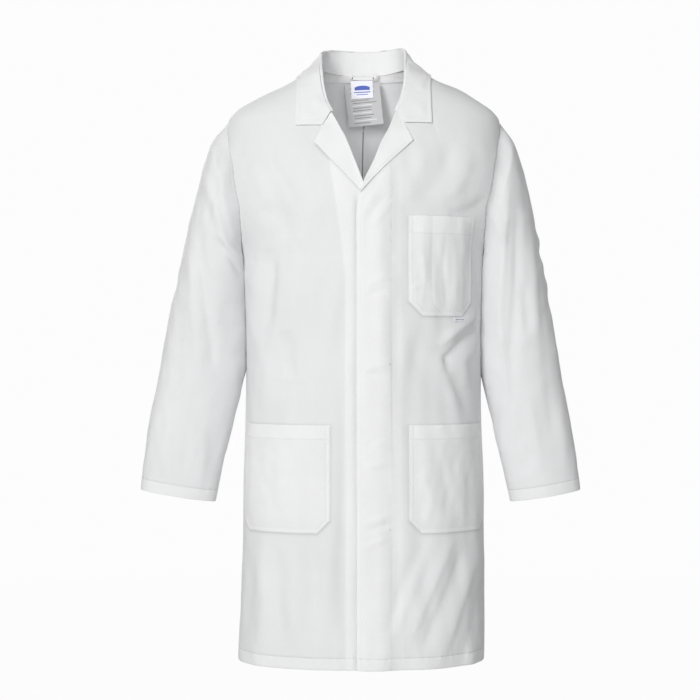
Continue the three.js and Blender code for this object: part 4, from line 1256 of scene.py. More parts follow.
def collar_half(side):
    """Half of the collar and its lines of stitching."""
    stations = [collar_station(side, i) for i in range(len(COLLAR))]
    stand, leaf = (np.array(part) for part in zip(*stations))
    for part in (stand, leaf):
        part[..., 0] = COLLAR_X + side * part[..., 0]
    stand = np.stack([catmull(row, 5) for row in catmull(stand, 10)])
    leaf = catmull(leaf, 10)
    fine = [0.865, 0.89, 0.91, 0.93, 0.95, 0.965, 0.978, 0.988, 0.995, 1.0]
    share = np.concatenate([np.linspace(0, 0.84, 34)[1:], fine])
    width = run_length(leaf, 1)[:, -1]
    leaf = np.stack([resample(row, share) for row in leaf])
    rows = len(leaf)
    # nothing of the leaf inside the coat
    for _ in range(6):
        distance, outward = level(leaf)
        leaf = leaf + outward * np.maximum(0, 3.1 - distance)[..., None]
    middle = np.concatenate([stand, leaf], 1)
    columns = middle.shape[1]
    first = stand.shape[1]  # first column of the leaf
    facing = unit(np.cross(np.gradient(middle, axis=1), np.gradient(middle, axis=0))) * side
    # distances from the leaf's long edge, from the fold and from the front end
    on_width = share[None] * width[:, None]
    edge = np.concatenate([np.full((rows, first), 50.0), (1 - share)[None] * width[:, None]], 1)
    from_fold = np.concatenate([np.zeros((rows, first)), on_width], 1)
    run = run_length(middle[:, -1])
    end = (run[-1] - run)[:, None] + 0 * edge
    inland = smooth(from_fold / 12) * smooth((edge - 5) / 12) * smooth((end - 5) / 14)
    life = 0.5 * noise(middle, 36, 51) * inland
    on_stand = np.zeros((rows, columns))
    on_stand[:, :first] = np.sin(np.pi * np.linspace(0, 1, first))[None] ** 2
    life = life + 0.45 * noise(middle, 28, 52) * on_stand
    along = (np.arange(rows) / (rows - 1))[:, None]
    curl = 0.5 * bell(edge, 9) * smooth((along - 0.6) / 0.2)
    dip = 0.22 * (bell(edge - COLLAR_STITCH, 1.0) + bell(end - COLLAR_STITCH, 1.0) * (edge > 6))
    thickness = 0.8 - 0.35 * bell(edge, 0.8) - (dip + 0.35 * bell(end, 0.8)) * (from_fold > 1)
    moved = middle - facing * (life + curl)[..., None]
    outer, inner = moved - facing * thickness[..., None], moved + facing * thickness[..., None]
    # keep the under side of the leaf clear of the coat
    distance, outward = level(inner)
    push = outward * (np.maximum(0, 2.2 - distance) * smooth((from_fold - 2) / 8))[..., None]
    inner, outer = inner + push, outer + push
    across = run_length(middle, 1)
    uv = np.stack([run_length(middle[:, columns // 2])[:, None] + 0 * across, across], -1)
    thing = shell("collar_%s_half" % SIDES[side], outer, inner, TWILL, uv, 0.8)
    # stitching along the long edge, then along the front end
    points, normals = [], []
    for i in range(rows):
        if run[-1] - run[i] < COLLAR_STITCH:
            break
        place = np.interp(width[i] - COLLAR_STITCH, share * width[i], np.arange(len(share)))
        j, part = int(first + place), (first + place) - int(first + place)
        points.append(outer[i, j] * (1 - part) + outer[i, min(columns - 1, j + 1)] * part)
        normals.append(-facing[i, j])
    i = int(np.searchsorted(run, run[-1] - COLLAR_STITCH))
    chosen = [
        j for j in range(first, columns)
        if edge[i, j] > COLLAR_STITCH and from_fold[i, j] > 0.3 * width[i]
    ]
    return thing, [(np.array(points), np.array(normals)), (outer[i, chosen], -facing[i, chosen])]


collars = {side: collar_half(side) for side in SIDES}


# ------------------------------------------------------------------ pockets
def patch_pocket(pocket):
    """Patch pocket with two cut bottom corners, and its lines of stitching."""
    side, low, high, width = pocket.side, pocket.low, pocket.high, pocket.width
    fine = [(low + 0.6, 0.6), (low + pocket.cut, 1.0), (high - pocket.hem, 1.6), (high - 0.6, 0.6)]
    rows_z = heights(low, high, 2.6, fine)
    inner_x = side * float(pocket.inner_x)
    cut = np.maximum(0, pocket.cut - (rows_z - low))
    inner_edge = angle_at(rows_z, inner_x)
    first = go_round(rows_z, inner_edge, cut, side, 8)
    second = go_round(rows_z, inner_edge, width - cut, side, 40)

    def sewn_distance(spot):
        """Distance to the nearest sewn edge."""
        return np.minimum(np.minimum(spot.start, spot.end), spot.z - low)

    def shape(spot):
        z, start = spot.z, spot.start
        sewn = sewn_distance(spot)
        # the bag stands off most at its mouth
        bag = smooth(sewn / 26)
        off = 0.35 + bag * (0.9 + 0.9 * smooth(((z - low) / (high - low) - 0.45) / 0.55))
        if pocket.pen:
            off -= 0.7 * bell(start - pocket.pen, 6) * bag + 0.3 * bell(start - pocket.pen, 1.0)
        points = form(z, spot.angle)
        uneven = 0.5 * noise(points, 60, 60 + pocket.seed, (1, 1, 2.2))
        off += bag * (uneven + 0.16 * noise(points, 24, 70 + pocket.seed, (1, 1, 1.3)))
        off -= 0.25 * bell(sewn - 1.5, 0.7) + 0.3 * bell(sewn - 7, 0.9)
        off -= 0.35 * bell(high - z - pocket.hem, 1.1)
        gathers = pucker(sewn - 7, start + z, height=0.35, pitch=10, reach=7, seed=80 + pocket.seed)
        off += gathers * (sewn > 1.5)
        # the cloth turns in at its edges
        off -= 0.35 * bell(sewn, 0.7) + 0.35 * bell(high - z, 0.8)
        return 1.0 + off + front_lift(side, z, spot.x)

    def ply_and_shade(spot):
        sewn = sewn_distance(spot)
        hem_line = high - pocket.hem
        out = np.maximum(smooth((8 - sewn) / 1.5), smooth((spot.z - hem_line) / 1.2))
        # painted shade along the stitched lines, under the hem's stitching and down the dividing seam
        out -= 1.1 * bell(sewn - 7, 0.9) + 1.0 * bell(hem_line - spot.z, 0.9)
        if pocket.pen:
            out -= 1.0 * bell(spot.start - pocket.pen, 0.9)
        return 0.6 + 0.4 * out

    thing = on_body(pocket.name, rows_z, first, second, 46, (-0.05, 0.75), shape, ply_and_shade,
                    edge_steps=(0, 0.5, 1.2, 2.0, 3.2, 5.2, 7.0, 8.8))

    def line(z, distance):
        z, distance = np.asarray(z, float), np.asarray(distance, float)
        angle = go_round(z, angle_at(z, inner_x), distance, side, 40)
        cut = np.maximum(0, pocket.cut - (z - low))
        spot = Spot(z, angle, distance - cut, width - cut - distance, form(z, angle)[..., 0])
        return body_line(z, angle, shape(spot) + 0.82)

    # two rows round the sides and the bottom, one along the hem, one up the dividing seam
    lines = []
    for inset in (1.5, 7.0):
        corner = pocket.cut + inset * 0.41
        path = [
            (high - 1, inset), (low + corner, inset), (low + inset, corner),
            (low + inset, width - corner), (low + corner, width - inset), (high - 1, width - inset),
        ]
        points = []
        for start, end in zip(path[:-1], path[1:]):
            span = np.subtract(end, start)
            count = int(max(3, math.hypot(*span) / 3))
            points += [start + span * t for t in np.linspace(0, 1, count, endpoint=False)]
        lines.append(line(*np.transpose(points)))
    distance = np.arange(2, width - 2, 3.0)
    lines.append(line(np.full(len(distance), high - pocket.hem), distance))
    if pocket.pen:
        z = np.arange(low + 8, high - 1, 3.0)
        lines.append(line(z, np.full(len(z), float(pocket.pen))))
    return thing, lines


(chest, chest_lines), (low_left, low_left_lines), (low_right, low_right_lines) = (
    patch_pocket(pocket) for pocket in POCKETS
)


# ------------------------------------------------------------------ sleeves
def sleeve_grid(side, stations):
    """Smooth sleeve: its points, and the station and turn of each. Turn 0 is the outer side."""
    turns = np.linspace(0, 2 * np.pi, RING, endpoint=False)
    station, turn = np.meshgrid(stations, turns, indexing="ij")
    inner_x, inner_z, outer_x, outer_z, depth, centre_y = (f(station) for f in SLEEVE_CURVES)
    cosine, sine = np.cos(turn), np.sin(turn)
    x = side * ((inner_x + outer_x) / 2 + (outer_x - inner_x) / 2 * cosine) + SLEEVE_X
    z = (inner_z + outer_z) / 2 + (outer_z - inner_z) / 2 * cosine
    points = np.stack([x, centre_y - sine * depth, z], -1)
    # the head of the sleeve meets the armhole
    head_z = np.clip(z[0], ARM_LOW + 0.02, ARM_HIGH - 0.02)
    angle = np.where(np.sin(turns) < 0, seam_angle(head_z, True), seam_angle(head_z, False))
    armhole = body(head_z, side * angle, 0.35)
    points = points + (1 - smooth(station / 1.15))[..., None] * (armhole - points[0])[None]
    # the inner side of the arm rests against the body
    near = np.interp(station, [0, 0.8, 2, 7, 8, 9, 10], [0, 3, 7, 9, 8, 3, 0])
    points[..., 0] -= side * near * ((1 - cosine) / 2) ** 2
    if side > 0:
        # this sleeve hangs a little flatter, so its outer side lies closer in
        flatter = np.interp(station, [3.5, 5, 7, 9, 10, 12], [0, 5, 8.5, 10.5, 11, 8.5])
        points[..., 0] -= flatter * (1 + cosine) / 2
    return points, station, turn


def sleeve_normal(points):
    """Direction square to the sleeve, of either sign."""
    around = np.roll(points, -1, 1) - np.roll(points, 1, 1)
    return unit(np.cross(around, np.gradient(points, axis=0)))


def sleeve_relief(side, points, station, turn, along, left):
    """How far the sleeve's cloth stands off. along and left are distances from head and cuff."""
    front = smooth((np.sin(turn) - 0.08) / 0.5)
    rear = smooth((-np.sin(turn) - 0.1) / 0.5)
    off = 0.72 * front * strokes(*front_view(points), SLEEVE_FOLDS[side])
    long_folds = 1.8 * noise(points, 110, 91 + side, (1, 1, 3.2))
    off += rear * (long_folds + 0.9 * noise(points, 46, 94 + side, (1, 1, 1.6)))
    # elbow creases run across, away from the front
    across = noise(points, 46, 97 + side, (2.4, 2.4, 1))
    off += (1 - front) * 1.5 * bell(station - 5.4, 1.2) * across
    off += 0.5 * noise(points, 60, 101 + side, (1, 1, 2.0))
    off += 0.22 * noise(points, 26, 103 + side, (1, 1, 1.4))
    off = off * smooth((station + 0.02) / 0.45) * (1 - 0.65 * smooth((station - 11.2) / 0.8))
    # head seam, its gathers, and the cuff hem
    around = np.cumsum(np.linalg.norm(np.roll(points, -1, 1) - points, axis=-1), 1)
    off -= 0.6 * bell(along, 1.8)
    off += pucker(along, around, height=0.5, pitch=12, reach=12, seed=105 + side)
    off -= 0.45 * bell(left - HEM, 1.3) + 0.4 * bell(left, 0.8)
    off += pucker(left - HEM, around, height=0.35, pitch=14, reach=9, seed=107 + side)
    # seam along the inner side
    return off - 0.55 * bell(np.abs(turn - np.pi) * 62, 1.7) * smooth(station / 0.3)


def sleeve(side):
    """Upper sleeve, forearm, cuff and head stitching, and what the cuff's turn-up needs."""
    head = [0, 0.012, 0.03, 0.055, 0.09]
    upper = np.linspace(0.13, SLEEVE_SPLIT, 78)[:-1]
    stations = np.concatenate([head, upper, np.linspace(SLEEVE_SPLIT, 12, 132)])
    # finer rows at the cuff's stitching and its edge
    cuff = 12 - np.array([0.004, 0.01, 0.02, 0.24, 0.255, 0.27, 0.285, 0.3])
    stations = np.unique(np.round(np.concatenate([stations, cuff]), 5))
    points, station, turn = sleeve_grid(side, stations)
    along = run_length(points)
    left = along.max(0, keepdims=True) - along
    outward = sleeve_normal(points)
    from_centre = points - points.mean(1, keepdims=True)
    outward = outward * np.sign((from_centre * outward).sum(-1).mean())
    off = sleeve_relief(side, points, station, turn, along, left)
    outer = points + outward * (off + 0.55)[..., None]
    inner = points + outward * (off - 0.35)[..., None]
    # keep clear of the body below the armhole seam
    hold = smooth((station - 0.25) / 0.8)
    for _ in range(3):
        distance, away = level(outer)
        move = away * (np.maximum(0, 3.6 - distance) * hold)[..., None]
        outer, inner, points = outer + move, inner + move, points + move
    normal = sleeve_normal(outer)
    normal = normal * np.sign((normal * outward).sum(-1).mean())
    uv = np.stack([run_length(outer, 1), along], -1)
    # painted shade along the cuff's stitched line and along the head seam
    ply_and_shade = hem_ply(left) - 0.6 * bell(left - HEM, 0.9) - 0.3 * bell(along, 1.8)
    # shade where the sleeve hangs close beside the body
    near_body = np.exp(-np.maximum(0, level(outer)[0] - 3.6) / 7.5)
    near_body = near_body * smooth((915 - outer[..., 2]) / 70)
    ply_and_shade = ply_and_shade - (0.8 if side > 0 else 0.4) * near_body
    split = int(np.searchsorted(stations, SLEEVE_SPLIT))
    pieces = []
    for part, rows in (("top", slice(0, split + 1)), ("forearm", slice(split, None))):
        flat = normal[rows].reshape(-1, 3)
        pieces.append(shell("sleeve_%s_%s" % (SIDES[side], part), outer[rows], inner[rows], TWILL,
                            uv[rows], ply_and_shade[rows], wrap=True, sharp=None,
                            normals=np.concatenate([flat, -flat])))

    def ring_line(distance, from_cuff):
        """Line round the sleeve at a distance from its head or its cuff."""
        line, normals = [], []
        for j in list(range(RING)) + [0]:
            run = along[:, j]
            place = run[-1] - distance if from_cuff else distance
            i = np.clip(np.searchsorted(run, place) - 1, 0, len(run) - 2)
            part = (place - run[i]) / (run[i + 1] - run[i])
            point = outer[i, j] * (1 - part) + outer[i + 1, j] * part
            line.append(point + normal[i, j] * 0.05)
            normals.append(normal[i, j])
        return np.array(line), np.array(normals)

    lines = {"cuff": ring_line(HEM, True), "head": ring_line(6.5, False)}
    return pieces, lines, (points, outward, off, left)


def cuff_band(side, points, outward, off, left):
    """Turned-up cloth inside the cuff."""
    rows = left.mean(1) <= 26
    points, outward, off, left = points[rows], outward[rows], off[rows], left[rows]
    outer, inner = (points + outward * (off - depth)[..., None] for depth in (0.75, 1.45))
    uv = np.stack([np.arange(RING)[None] * 2.0 + 0 * left, left], -1)
    return shell("cuff_turnup_" + SIDES[side], outer, inner, TWILL, uv, 1.0, wrap=True)


sleeves = {side: sleeve(side) for side in SIDES}
sleeve_tops = {side: sleeves[side][0][0] for side in SIDES}
forearms = {side: sleeves[side][0][1] for side in SIDES}
bands = {side: cuff_band(side, *sleeves[side][2]) for side in SIDES}

# ------------------------------------------------------------------ inside the neck
# Hanging loop's middle line from its seat: x, y (not from the seat), z
LOOP_PATH = [
    [-24, 67.4, 8], [-23.2, 67.2, 4.2], [-21.3, 67.6, 0.6], [-17.6, 68, -1.9], [-12, 68, -2.5],
    [0, 68, -2.7], [12, 68, -2.5], [17.6, 68, -1.9], [21.3, 67.6, 0.6], [23.2, 67.2, 4.2],
    [24, 67.4, 8],
]
LOOP_HALF_WIDTH, LOOP_HALF_THICKNESS = 2.5, 0.62


def neck_tape():
    rows_z = heights(1029, 1041, 1.2)
    first, second = (np.full(len(rows_z), math.pi + turn) for turn in (-1.0, 1.0))

    def outer(spot):
        return -0.9 - 0.35 * bell(spot.z - 1030, 0.7) - 0.2 * bell(spot.z - 1032.5, 0.6)

    return on_body("neck_seam_tape", rows_z, first, second, 70, (-1.9, outer), material=TAPE)


def hanging_loop():
    """Flat ribbed strap along the loop's path."""
    path = catmull(LOOP_PATH, 10) + np.array([SEAT[0], 0, SEAT[2]])
    along = unit(np.gradient(path, axis=0))
    across = unit(np.cross(along, np.array([0, 1, 0])))
    normal = np.cross(along, across)
    share = np.linspace(-1, 1, 13)
    thin_edge = 1 - np.abs(share) ** 6 * 0.55
    rib = 1 + 0.12 * np.cos(share * 6 * np.pi)
    middle = path[:, None] + across[:, None] * (share * LOOP_HALF_WIDTH)[None, :, None]
    half = normal[:, None] * (LOOP_HALF_THICKNESS * thin_edge * rib)[None, :, None]
    run = run_length(path)[:, None]
    uv = np.stack([run + 0 * share[None], share[None] * LOOP_HALF_WIDTH + 0 * run], -1)
    return shell("hanging_loop_tape", middle + half, middle - half, TAPE, uv, 1.0)


def ribbon(name, across, up, y, material, seed, tilt, thickness=0.35, bow=0.8, ripple=0.25):
    """Piece of ribbon hanging in the xz plane, a little bowed, and a function that finds its points.

    across and up are its limits in x and z, y its depth at the top, tilt is in degrees."""
    xs, zs = np.linspace(*across, 40), np.linspace(*up, 44)
    x, z = np.meshgrid(xs, zs)
    down = 1 - (z - up[0]) / (up[1] - up[0])
    rippled = ripple * noise(np.stack([x, 0 * x, z], -1), 24, seed) * down**0.5
    depth = y - bow * np.sin(np.pi * down) * 0.6 - rippled
    pivot_x, pivot_z = sum(across) / 2, up[1]
    cosine, sine = math.cos(math.radians(tilt)), math.sin(math.radians(tilt))
    middle = np.stack([
        pivot_x + (x - pivot_x) * cosine - (z - pivot_z) * sine,
        depth,
        pivot_z + (x - pivot_x) * sine + (z - pivot_z) * cosine,
    ], -1)
    half = np.array([0, 1, 0]) * thickness / 2
    thing = shell(name, middle - half, middle + half, material, np.stack([x, z], -1), 0.5)

    def point_at(x, z):
        column = float(np.interp(x, xs, np.arange(len(xs))))
        row = float(np.interp(z, zs, np.arange(len(zs))))
        i, j = int(column), int(row)
        right, above = min(i + 1, len(xs) - 1), min(j + 1, len(zs) - 1)
        over, rise = column - i, row - j
        lower = middle[j, i] * (1 - over) + middle[j, right] * over
        return lower * (1 - rise) + (middle[above, i] * (1 - over) + middle[above, right] * over) * rise

    return thing, point_at


def marks(name, polygons, point_at, material, lift):
    """Flat marks on a ribbon, each a polygon in x and z, as thin blocks through its surface."""
    pairs = []
    for polygon in polygons:
        points = np.array([point_at(x, z) for x, z in polygon])
        pairs.append([points - np.array([0, layer, 0]) for layer in (lift + 0.1, lift - 0.25)])
    return blocks(name, pairs, material)


def bar(x0, x1, z0, z1, count):
    """Upright quads side by side between count places."""
    xs = np.linspace(x0, x1, count)
    return [[(a, z0), (b, z0), (b, z1), (a, z1)] for a, b in zip(xs[:-1], xs[1:])]


def label_device():
    """Domed band of upright strips over two fine lines."""
    out = []
    for k in range(11):
        x = -12 + 2.5 * k
        height = 3.6 + 4.6 * math.sqrt(max(0.0, 1 - ((k - 5) / 5.6) ** 2))
        out += bar(x, x + 2.52, 1013.0, 1013.0 + height, 2)
    return out + bar(-13.5, 16.5, 1008.3, 1010.0, 9) + bar(-9, 12, 1004.4, 1005.6, 8)


def care_lines():
    """Rows of uneven length; one in three is pale."""
    rng = np.random.RandomState(9)
    dark, pale = [], []
    for k, z in enumerate(np.arange(1018, 951, -4.6)):
        x0 = -20 + rng.uniform(-1, 2)
        x1 = 26 - rng.uniform(0, 16)
        (pale if k % 3 == 1 else dark).extend(bar(x0, x1, z - 0.85, z + 0.75, 7))
    return dark, pale


tape = neck_tape()
loop = hanging_loop()
care, care_at = ribbon("care_ribbon", (-30, 34), (948, 1025), 73.0, CARE, seed=6, tilt=6)
label, label_at = ribbon("maker_ribbon", (-18.5, 21.5), (998, 1030.5), 70.9, SATIN, seed=7, tilt=3,
                         thickness=0.45, bow=0.5, ripple=0.15)
label_marks = marks("maker_ribbon_device", label_device(), label_at, BLUE, lift=0.3)
dark_lines, pale_lines = care_lines()
care_rows = marks("care_ribbon_rows", dark_lines, care_at, INK, lift=0.22)
care_pale = marks("care_ribbon_bars", pale_lines, care_at, PALE, lift=0.22)

# ------------------------------------------------------------------ pocket tag, back seam
TAG_X = 166.0
TAG_LOW, TAG_HIGH = 586.8, 593.8
MARK_LOW, MARK_HIGH, MARK_WIDTH = 589.2, 590.9, 3.3


def tag_point(z, across, offset):
    """Point of the tag, which stands off a little more towards its foot."""
    angle = go_round(z, angle_at(z, TAG_X), across, 1, 8)
    lift = offset + 0.5 * smooth((TAG_HIGH - z) / (TAG_HIGH - TAG_LOW))
    return body(z, angle) + form_normal(z, angle) * lift[..., None]


def pocket_tag():
    """Ribbon tag under the chest pocket, and four marks on it."""
    z, across = np.meshgrid(np.linspace(TAG_LOW, TAG_HIGH, 10), np.linspace(-11, 11, 30), indexing="ij")
    outer, inner = tag_point(z, across, 2.1), tag_point(z, across, 1.55)
    piece = shell("pocket_ribbon_tag", outer, inner, SATIN, np.stack([across, z], -1), 0.5)
    mark_z = np.array([MARK_HIGH, MARK_HIGH, MARK_LOW, MARK_LOW])
    pairs = []
    for start in (-8, -3.5, 1, 5.5):
        places = start + np.array([0, MARK_WIDTH, MARK_WIDTH, 0])
        pairs.append([tag_point(mark_z, places, offset) for offset in (2.35, 1.9)])
    return piece, blocks("pocket_ribbon_marks", pairs, INK)


def seam_allowance():
    """Seam allowance inside the centre back, either side of the seam."""
    rows_z = heights(302, 1030, 5)
    middle = back_angle(rows_z, centre_x(rows_z), 1)
    half = 9.5 / half_width_at(rows_z)

    def from_seam(spot):
        return (spot.start - spot.end) / 2

    def inner(spot):
        uneven = 0.25 * noise(form(spot.z, spot.angle), 18, 120)
        return -1.75 + 0.55 * bell(from_seam(spot), 0.9) + uneven

    # a line of painted shade darkens the cloth along the seam
    return on_body("back_seam_allowance", rows_z, middle + half, middle - half, 16, (inner, -0.95),
                   ply_and_shade=lambda spot: 0.4 - 2.2 * bell(from_seam(spot), 1.4))


tag, tag_marks = pocket_tag()
allowance = seam_allowance()


# ------------------------------------------------------------------ stitching
def front_lines(side):
    lines = []
    opening = SLITS[side]
    if side > 0:
        z = np.arange(24, 796, 3.0)
        lift = over_lift(z, FRONT_STITCH_X)
        lines.append(body_line(z, angle_at(z, FRONT_STITCH_X), lift + 0.55))
        z = np.arange(2, 800, 3.0)
        x = edge_x[1](z) + 7
        lines.append(body_line(z, angle_at(z, x), over_lift(z, x) + 0.8))
    # hem
    last = side * (math.pi / 2 - (0.022 if side > 0 else 0.055))
    angle = np.linspace(float(angle_at(HEM, edge_x[side](HEM))), last, 130)
    z = np.full(len(angle), HEM)
    lift = front_lift(side, z, form(z, angle)[..., 0])
    from_edge = (math.pi / 2 - np.abs(angle)) * 219 - (0 if side > 0 else opening.gap)
    lines.append(body_line(z, angle, 0.6 + lift + opening.lift * bell(from_edge, opening.reach)))
    # side slit
    z = np.arange(6, 140, 3.0)
    slit_edge = side * (math.pi / 2 - opening.gap * slit(z) / 215)
    angle = go_round(z, slit_edge, 14.0, -side, 8)
    lines.append(body_line(z, angle, 0.7 + opening.lift * slit(z) * bell(14, opening.reach)))
    # shoulder seam
    z = np.arange(948, 1024, 1.2)
    lines.append(body_line(z, go_round(z, side * math.pi / 2, 5.0, -side, 6), 1.02))
    return lines


def back_lines(side):
    lines = []
    if side > 0:
        z = np.arange(304, 1034, 3.0)
        angle = go_round(z, back_angle(z, centre_x(z), side), 6.0, -side, 6)
        lines.append(body_line(z, angle, 0.72))
    # vent
    z = np.arange(22, 296, 3.0)
    angle = go_round(z, back_angle(z, vent_edge(z, side), side), VENT_STITCH, -side, 8)
    near = 1 - smooth((VENT_STITCH - (vent_lap(z) + 8)) / 40)
    lines.append(body_line(z, angle, 0.7 + vent_open(z) * side * VENT_LIFT * near))
    # hem
    inner_x = float(vent_edge(HEM, side))
    first = float(back_angle(HEM, inner_x, side)) - side * 0.01
    angle = np.linspace(first, side * (math.pi / 2 + 0.012), 140)
    z = np.full(len(angle), HEM)
    from_vent = np.abs(form(z, angle)[..., 0] - inner_x)
    lift = side * VENT_LIFT * (1 - smooth((from_vent - 26) / 40)) * (np.cos(angle) < 0)
    lift = lift - 1.1 * bell((np.abs(angle) - math.pi / 2) * 215, 16)
    lines.append(body_line(z, angle, 0.6 + lift))
    return lines


def fly_tacks():
    """Bar tacks across the fly between the studs."""
    lines = []
    x = 44.5 + np.array([0, 2.3, 4.6])
    for centre in (657.0, 514.0, 373.0, 236.0):
        for k in range(9):
            z = np.full(3, centre + (k - 4) * 0.32)
            lines.append(body_line(z, angle_at(z, x), over_lift(z, x) + 0.85))
    return lines


def loop_tacks():
    """Bar tacks at the two ends of the loop."""
    lines = []
    for end_x in (-19.4, 19.0):
        for shift in (-0.8, -0.4, 0.0, 0.4, 0.8):
            x = np.full(3, SEAT[0] + end_x + shift)
            y = np.full(3, SEAT[1] - 0.75)
            points = np.stack([x, y, SEAT[2] + np.array([-3.9, -1.2, 1.5])], -1)
            lines.append((points, np.tile([0.0, -1.0, 0.0], (3, 1))))
    return lines


pocket_lines = {1: chest_lines + low_left_lines, -1: low_right_lines}
front_stitching, back_stitching, cuff_stitching, head_stitching = {}, {}, {}, {}
for side, word in SIDES.items():
    lines = front_lines(side) + pocket_lines[side] + lapels[side][1] + collars[side][1]
    front_stitching[side] = stitches("stitching_%s_front" % word, lines, THREAD)
for side, word in SIDES.items():
    back_stitching[side] = stitches("stitching_back_" + word, back_lines(side), THREAD)
for part, store in (("cuff", cuff_stitching), ("head", head_stitching)):
    for side, word in SIDES.items():
        lines = [sleeves[side][1][part]]
        store[side] = stitches("stitching_%s_%s" % (part, word), lines, THREAD)
tack = stitches("bar_tacks", fly_tacks(), THREAD, half_width=0.2, length=4.4, pitch=4.5)
loop_tack = stitches("loop_bar_tacks", loop_tacks(), DARK_GREY_TACKS,
                     half_width=0.24, height=0.336, length=4.4, pitch=4.5)


# ------------------------------------------------------------------ what moves with what
def bend(pieces, direction, start, end, mirror=False):
    """Bake each piece's transform into its mesh.

    The two points at the start and end distances along the direction, which mirror takes to the right
    sleeve's side, are worked out but not used."""
    direction = np.array(direction, float)
    direction = direction / np.linalg.norm(direction)
    points = [direction * start, direction * end]
    if mirror:
        for point in points:
            point[0] = 2 * SLEEVE_X - point[0]
    start_point, end_point = (tuple(metres(point)) for point in points)
    for piece in pieces:
        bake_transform(piece)


left_pieces = [front[1], facing_left, fly, lapels[1][0], collars[1][0], chest, low_left]
right_pieces = [front[-1], facing_right, lapels[-1][0], collars[-1][0], low_right]
bend(left_pieces + [front_stitching[1]],
     direction=(-0.8, -0.59, -0.1), start=-110, end=-60)
bend(right_pieces + [front_stitching[-1]],
     direction=(0.8, -0.59, -0.1), start=-110, end=-60)
bend([back[1], back_stitching[1], allowance],
     direction=(-0.9455, 0, -0.326), start=-105, end=-65)
bend([back[-1], back_stitching[-1]],
     direction=(0.936, 0, -0.352), start=-105, end=-65)
for side, word in SIDES.items():
    bend([sleeve_tops[side], head_stitching[side]],
         direction=(0.9895, 0, -0.145), start=106.5, end=117.5, mirror=side < 0)
for side, word in SIDES.items():
    bend([forearms[side], bands[side], cuff_stitching[side]],
         direction=(0.28, 0, -0.96), start=-529, end=-409, mirror=side < 0)

RIDES = [
    ("right_front", [stud_faces, rivets]),
    ("left_front", [rings, caps, tack]),
    ("coat", [tape]),
    ("loop", [loop, loop_tack]),
    ("maker_label", [label, label_marks]),
    ("care_tag", [care, care_rows, care_pale]),
    ("tag", [tag, tag_marks]),
]
for part, pieces in RIDES:
    for piece in pieces:
        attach(piece, part)

paired = [sleeve_tops, forearms, bands, front_stitching, back_stitching, cuff_stitching, head_stitching]
twill_pieces = left_pieces + right_pieces + [back[1], back[-1], allowance]
twill_pieces += [pair[side] for pair in paired for side in SIDES] + [tack]
SLOTS = [
    ("twill", twill_pieces),
    ("nickel", [stud_faces, rivets, rings, caps]),
    ("tape", [tape, loop, loop_tack]),
    ("satin", [label, label_marks, tag, tag_marks]),
    ("care", [care, care_rows, care_pale]),
]
for slot, pieces in SLOTS:
    for piece in pieces:
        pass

# Each piece and the frame's parts it stands in for
REPLACED = [
    (front[1], "front_left_panel", "front_left_side_panel"),
    (front[-1], "front_right_panel", "front_right_side_panel"),
    (facing_left, "front_left_facing"),
    (facing_right, "front_right_facing"),
    (fly, "fly_strip"),
    (lapels[1][0], "lapel_left"),
    (lapels[-1][0], "lapel_right"),
    (collars[1][0], "collar_upper", "collar_interlining", "collar_under"),
    (chest, "chest_pocket_pen_side", "chest_pocket"),
    (low_left, "lower_pocket_left", "lower_pocket_left_outer"),
    (low_right, "lower_pocket_right", "lower_pocket_right_outer"),
    (back[1], "back_left_panel", "vent_left_corner"),
    (back[-1], "back_right_panel", "vent_right_corner"),
    (sleeve_tops[1], "sleeve_left_upper"),
    (forearms[1], "sleeve_left_lower"),
    (sleeve_tops[-1], "sleeve_right_upper"),
    (forearms[-1], "sleeve_right_lower"),
    (bands[1], "cuff_hem_left"),
    (bands[-1], "cuff_hem_right"),
    (tape, "neck_tape"),
    (loop, "hanging_loop"),
    (label, "neck_label"),
    (care, "care_label"),
    (tag, "pocket_tag"),
]
for piece, *parts in REPLACED:
    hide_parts(*parts)
STUD_PARTS = [
    (stud_faces, "press_stud_%d"), (rivets, "stud_rivet_%d"),
    (rings, "socket_%d"), (caps, "socket_cap_%d"),
]
for piece, part in STUD_PARTS:
    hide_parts(*[part % k for k in range(1, len(STUD_HEIGHTS) + 1)])

# ------------------------------------------------------------------ floor, light, camera
scene = bpy.context.scene
FLOOR_Z = metres((0, 0, -560))[2]  # metres; well below the hem
FLOOR_RADIUS, FLOOR_SIDES = 4.5, 48  # metres, count
FLOOR_SEEN = 0.975  # brightness of the floor to the camera
WORLD_LIGHT, WORLD_SEEN = 0.26, 0.98  # the world's strength as light and to the camera


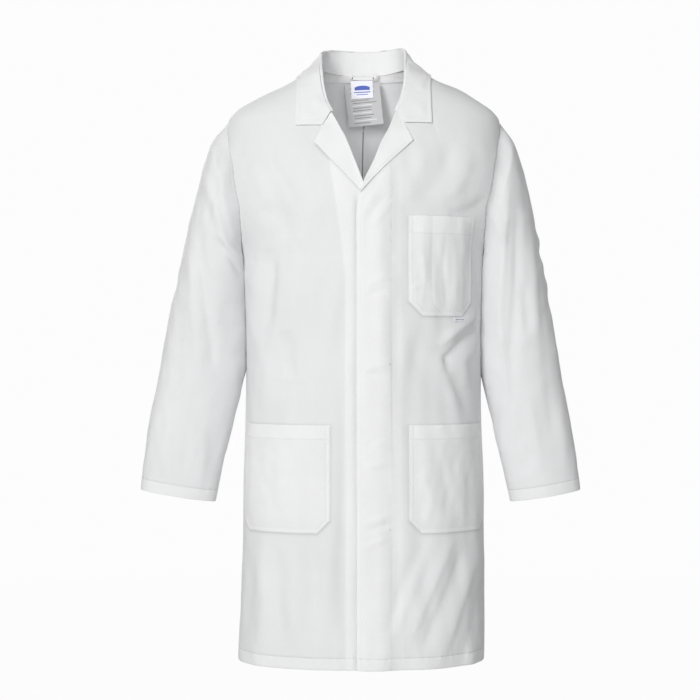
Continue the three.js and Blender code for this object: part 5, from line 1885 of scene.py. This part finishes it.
def ground():
    """Plain floor: grey to the light, nearly white to the camera."""
    mesh = bpy.data.meshes.new("studio_floor")
    turns = [2 * math.pi * k / FLOOR_SIDES for k in range(FLOOR_SIDES)]
    ring = [(FLOOR_RADIUS * math.cos(t), FLOOR_RADIUS * math.sin(t), FLOOR_Z) for t in turns]
    mesh.from_pydata(ring, [], [list(range(FLOOR_SIDES))])
    material, tree, shader = new_material("studio_paper")
    feed(tree, shader, {"Base Color": (0.38, 0.38, 0.38, 1), "Roughness": 0.95})
    glow = add_node(tree, "Emission", {"Color": (1, 1, 1, 1), "Strength": FLOOR_SEEN})
    seen = add_node(tree, "LightPath").outputs["Is Camera Ray"]
    mix = add_node(tree, "MixShader", {0: seen, 1: shader, 2: glow})
    output = next(n for n in tree.nodes if n.type == "OUTPUT_MATERIAL")
    feed(tree, output, {"Surface": mix})
    return link_object("studio_floor", mesh, material)


def light_world():
    world = bpy.data.worlds.new("studio")
    scene.world = world
    world.use_nodes = True
    tree = world.node_tree
    seen = add_node(tree, "LightPath").outputs["Is Camera Ray"]
    strength = add_remap(tree, seen, low=WORLD_LIGHT, high=WORLD_SEEN)
    feed(tree, tree.nodes["Background"], {"Color": (1, 1, 1, 1), "Strength": strength})


def area(name, location, target, size, power, colour=(1, 1, 1)):
    """Rectangular light aimed at a target; metres and watts."""
    light = bpy.data.lights.new(name, "AREA")
    light.shape = "RECTANGLE"
    light.size, light.size_y = size
    light.energy = power
    light.color = colour
    lamp = link_object(name, light)
    lamp.location = location
    aim = Vector(target) - Vector(location)
    lamp.rotation_euler = aim.to_track_quat("-Z", "Y").to_euler()
    return lamp


def photo_camera():
    lens = bpy.data.cameras.new("photo_view")
    lens.lens, lens.sensor_width = 75.12, 36
    camera = link_object("photo_view", lens)
    camera.location = tuple(metres(CAMERA))
    camera.rotation_euler = (math.pi / 2, 0, 0)
    scene.camera = camera


ground()
light_world()
area("key", location=(-2.6, -5.4, 1.6), target=(0, 0, -0.55), size=(1.8, 2.0), power=205,
     colour=(1, 0.997, 0.992))
area("front", location=(0.2, -6.2, -0.3), target=(0, 0, -0.6), size=(2.0, 2.6), power=97)
area("fill", location=(3.6, -1.2, 0.1), target=(0, 0, -0.5), size=(1.2, 2.0), power=3,
     colour=(0.96, 0.98, 1.0))
inside = area("inside", location=metres((4, -52, 880)), target=metres((4, 60, 872)),
              size=(0.16, 0.22), power=0.08)
inside.visible_camera = False
area("back", location=(-2.4, 4.6, 1.6), target=(0, 0, -0.5), size=(1.8, 2.2), power=140)
area("back_low", location=(2.8, 4.4, -0.2), target=(0, 0, -0.5), size=(1.8, 2.4), power=66)
area("top", location=(0, 0.3, 3.0), target=(0, 0, -0.4), size=(1.6, 1.2), power=8)
photo_camera()
scene.view_settings.view_transform = "Standard"
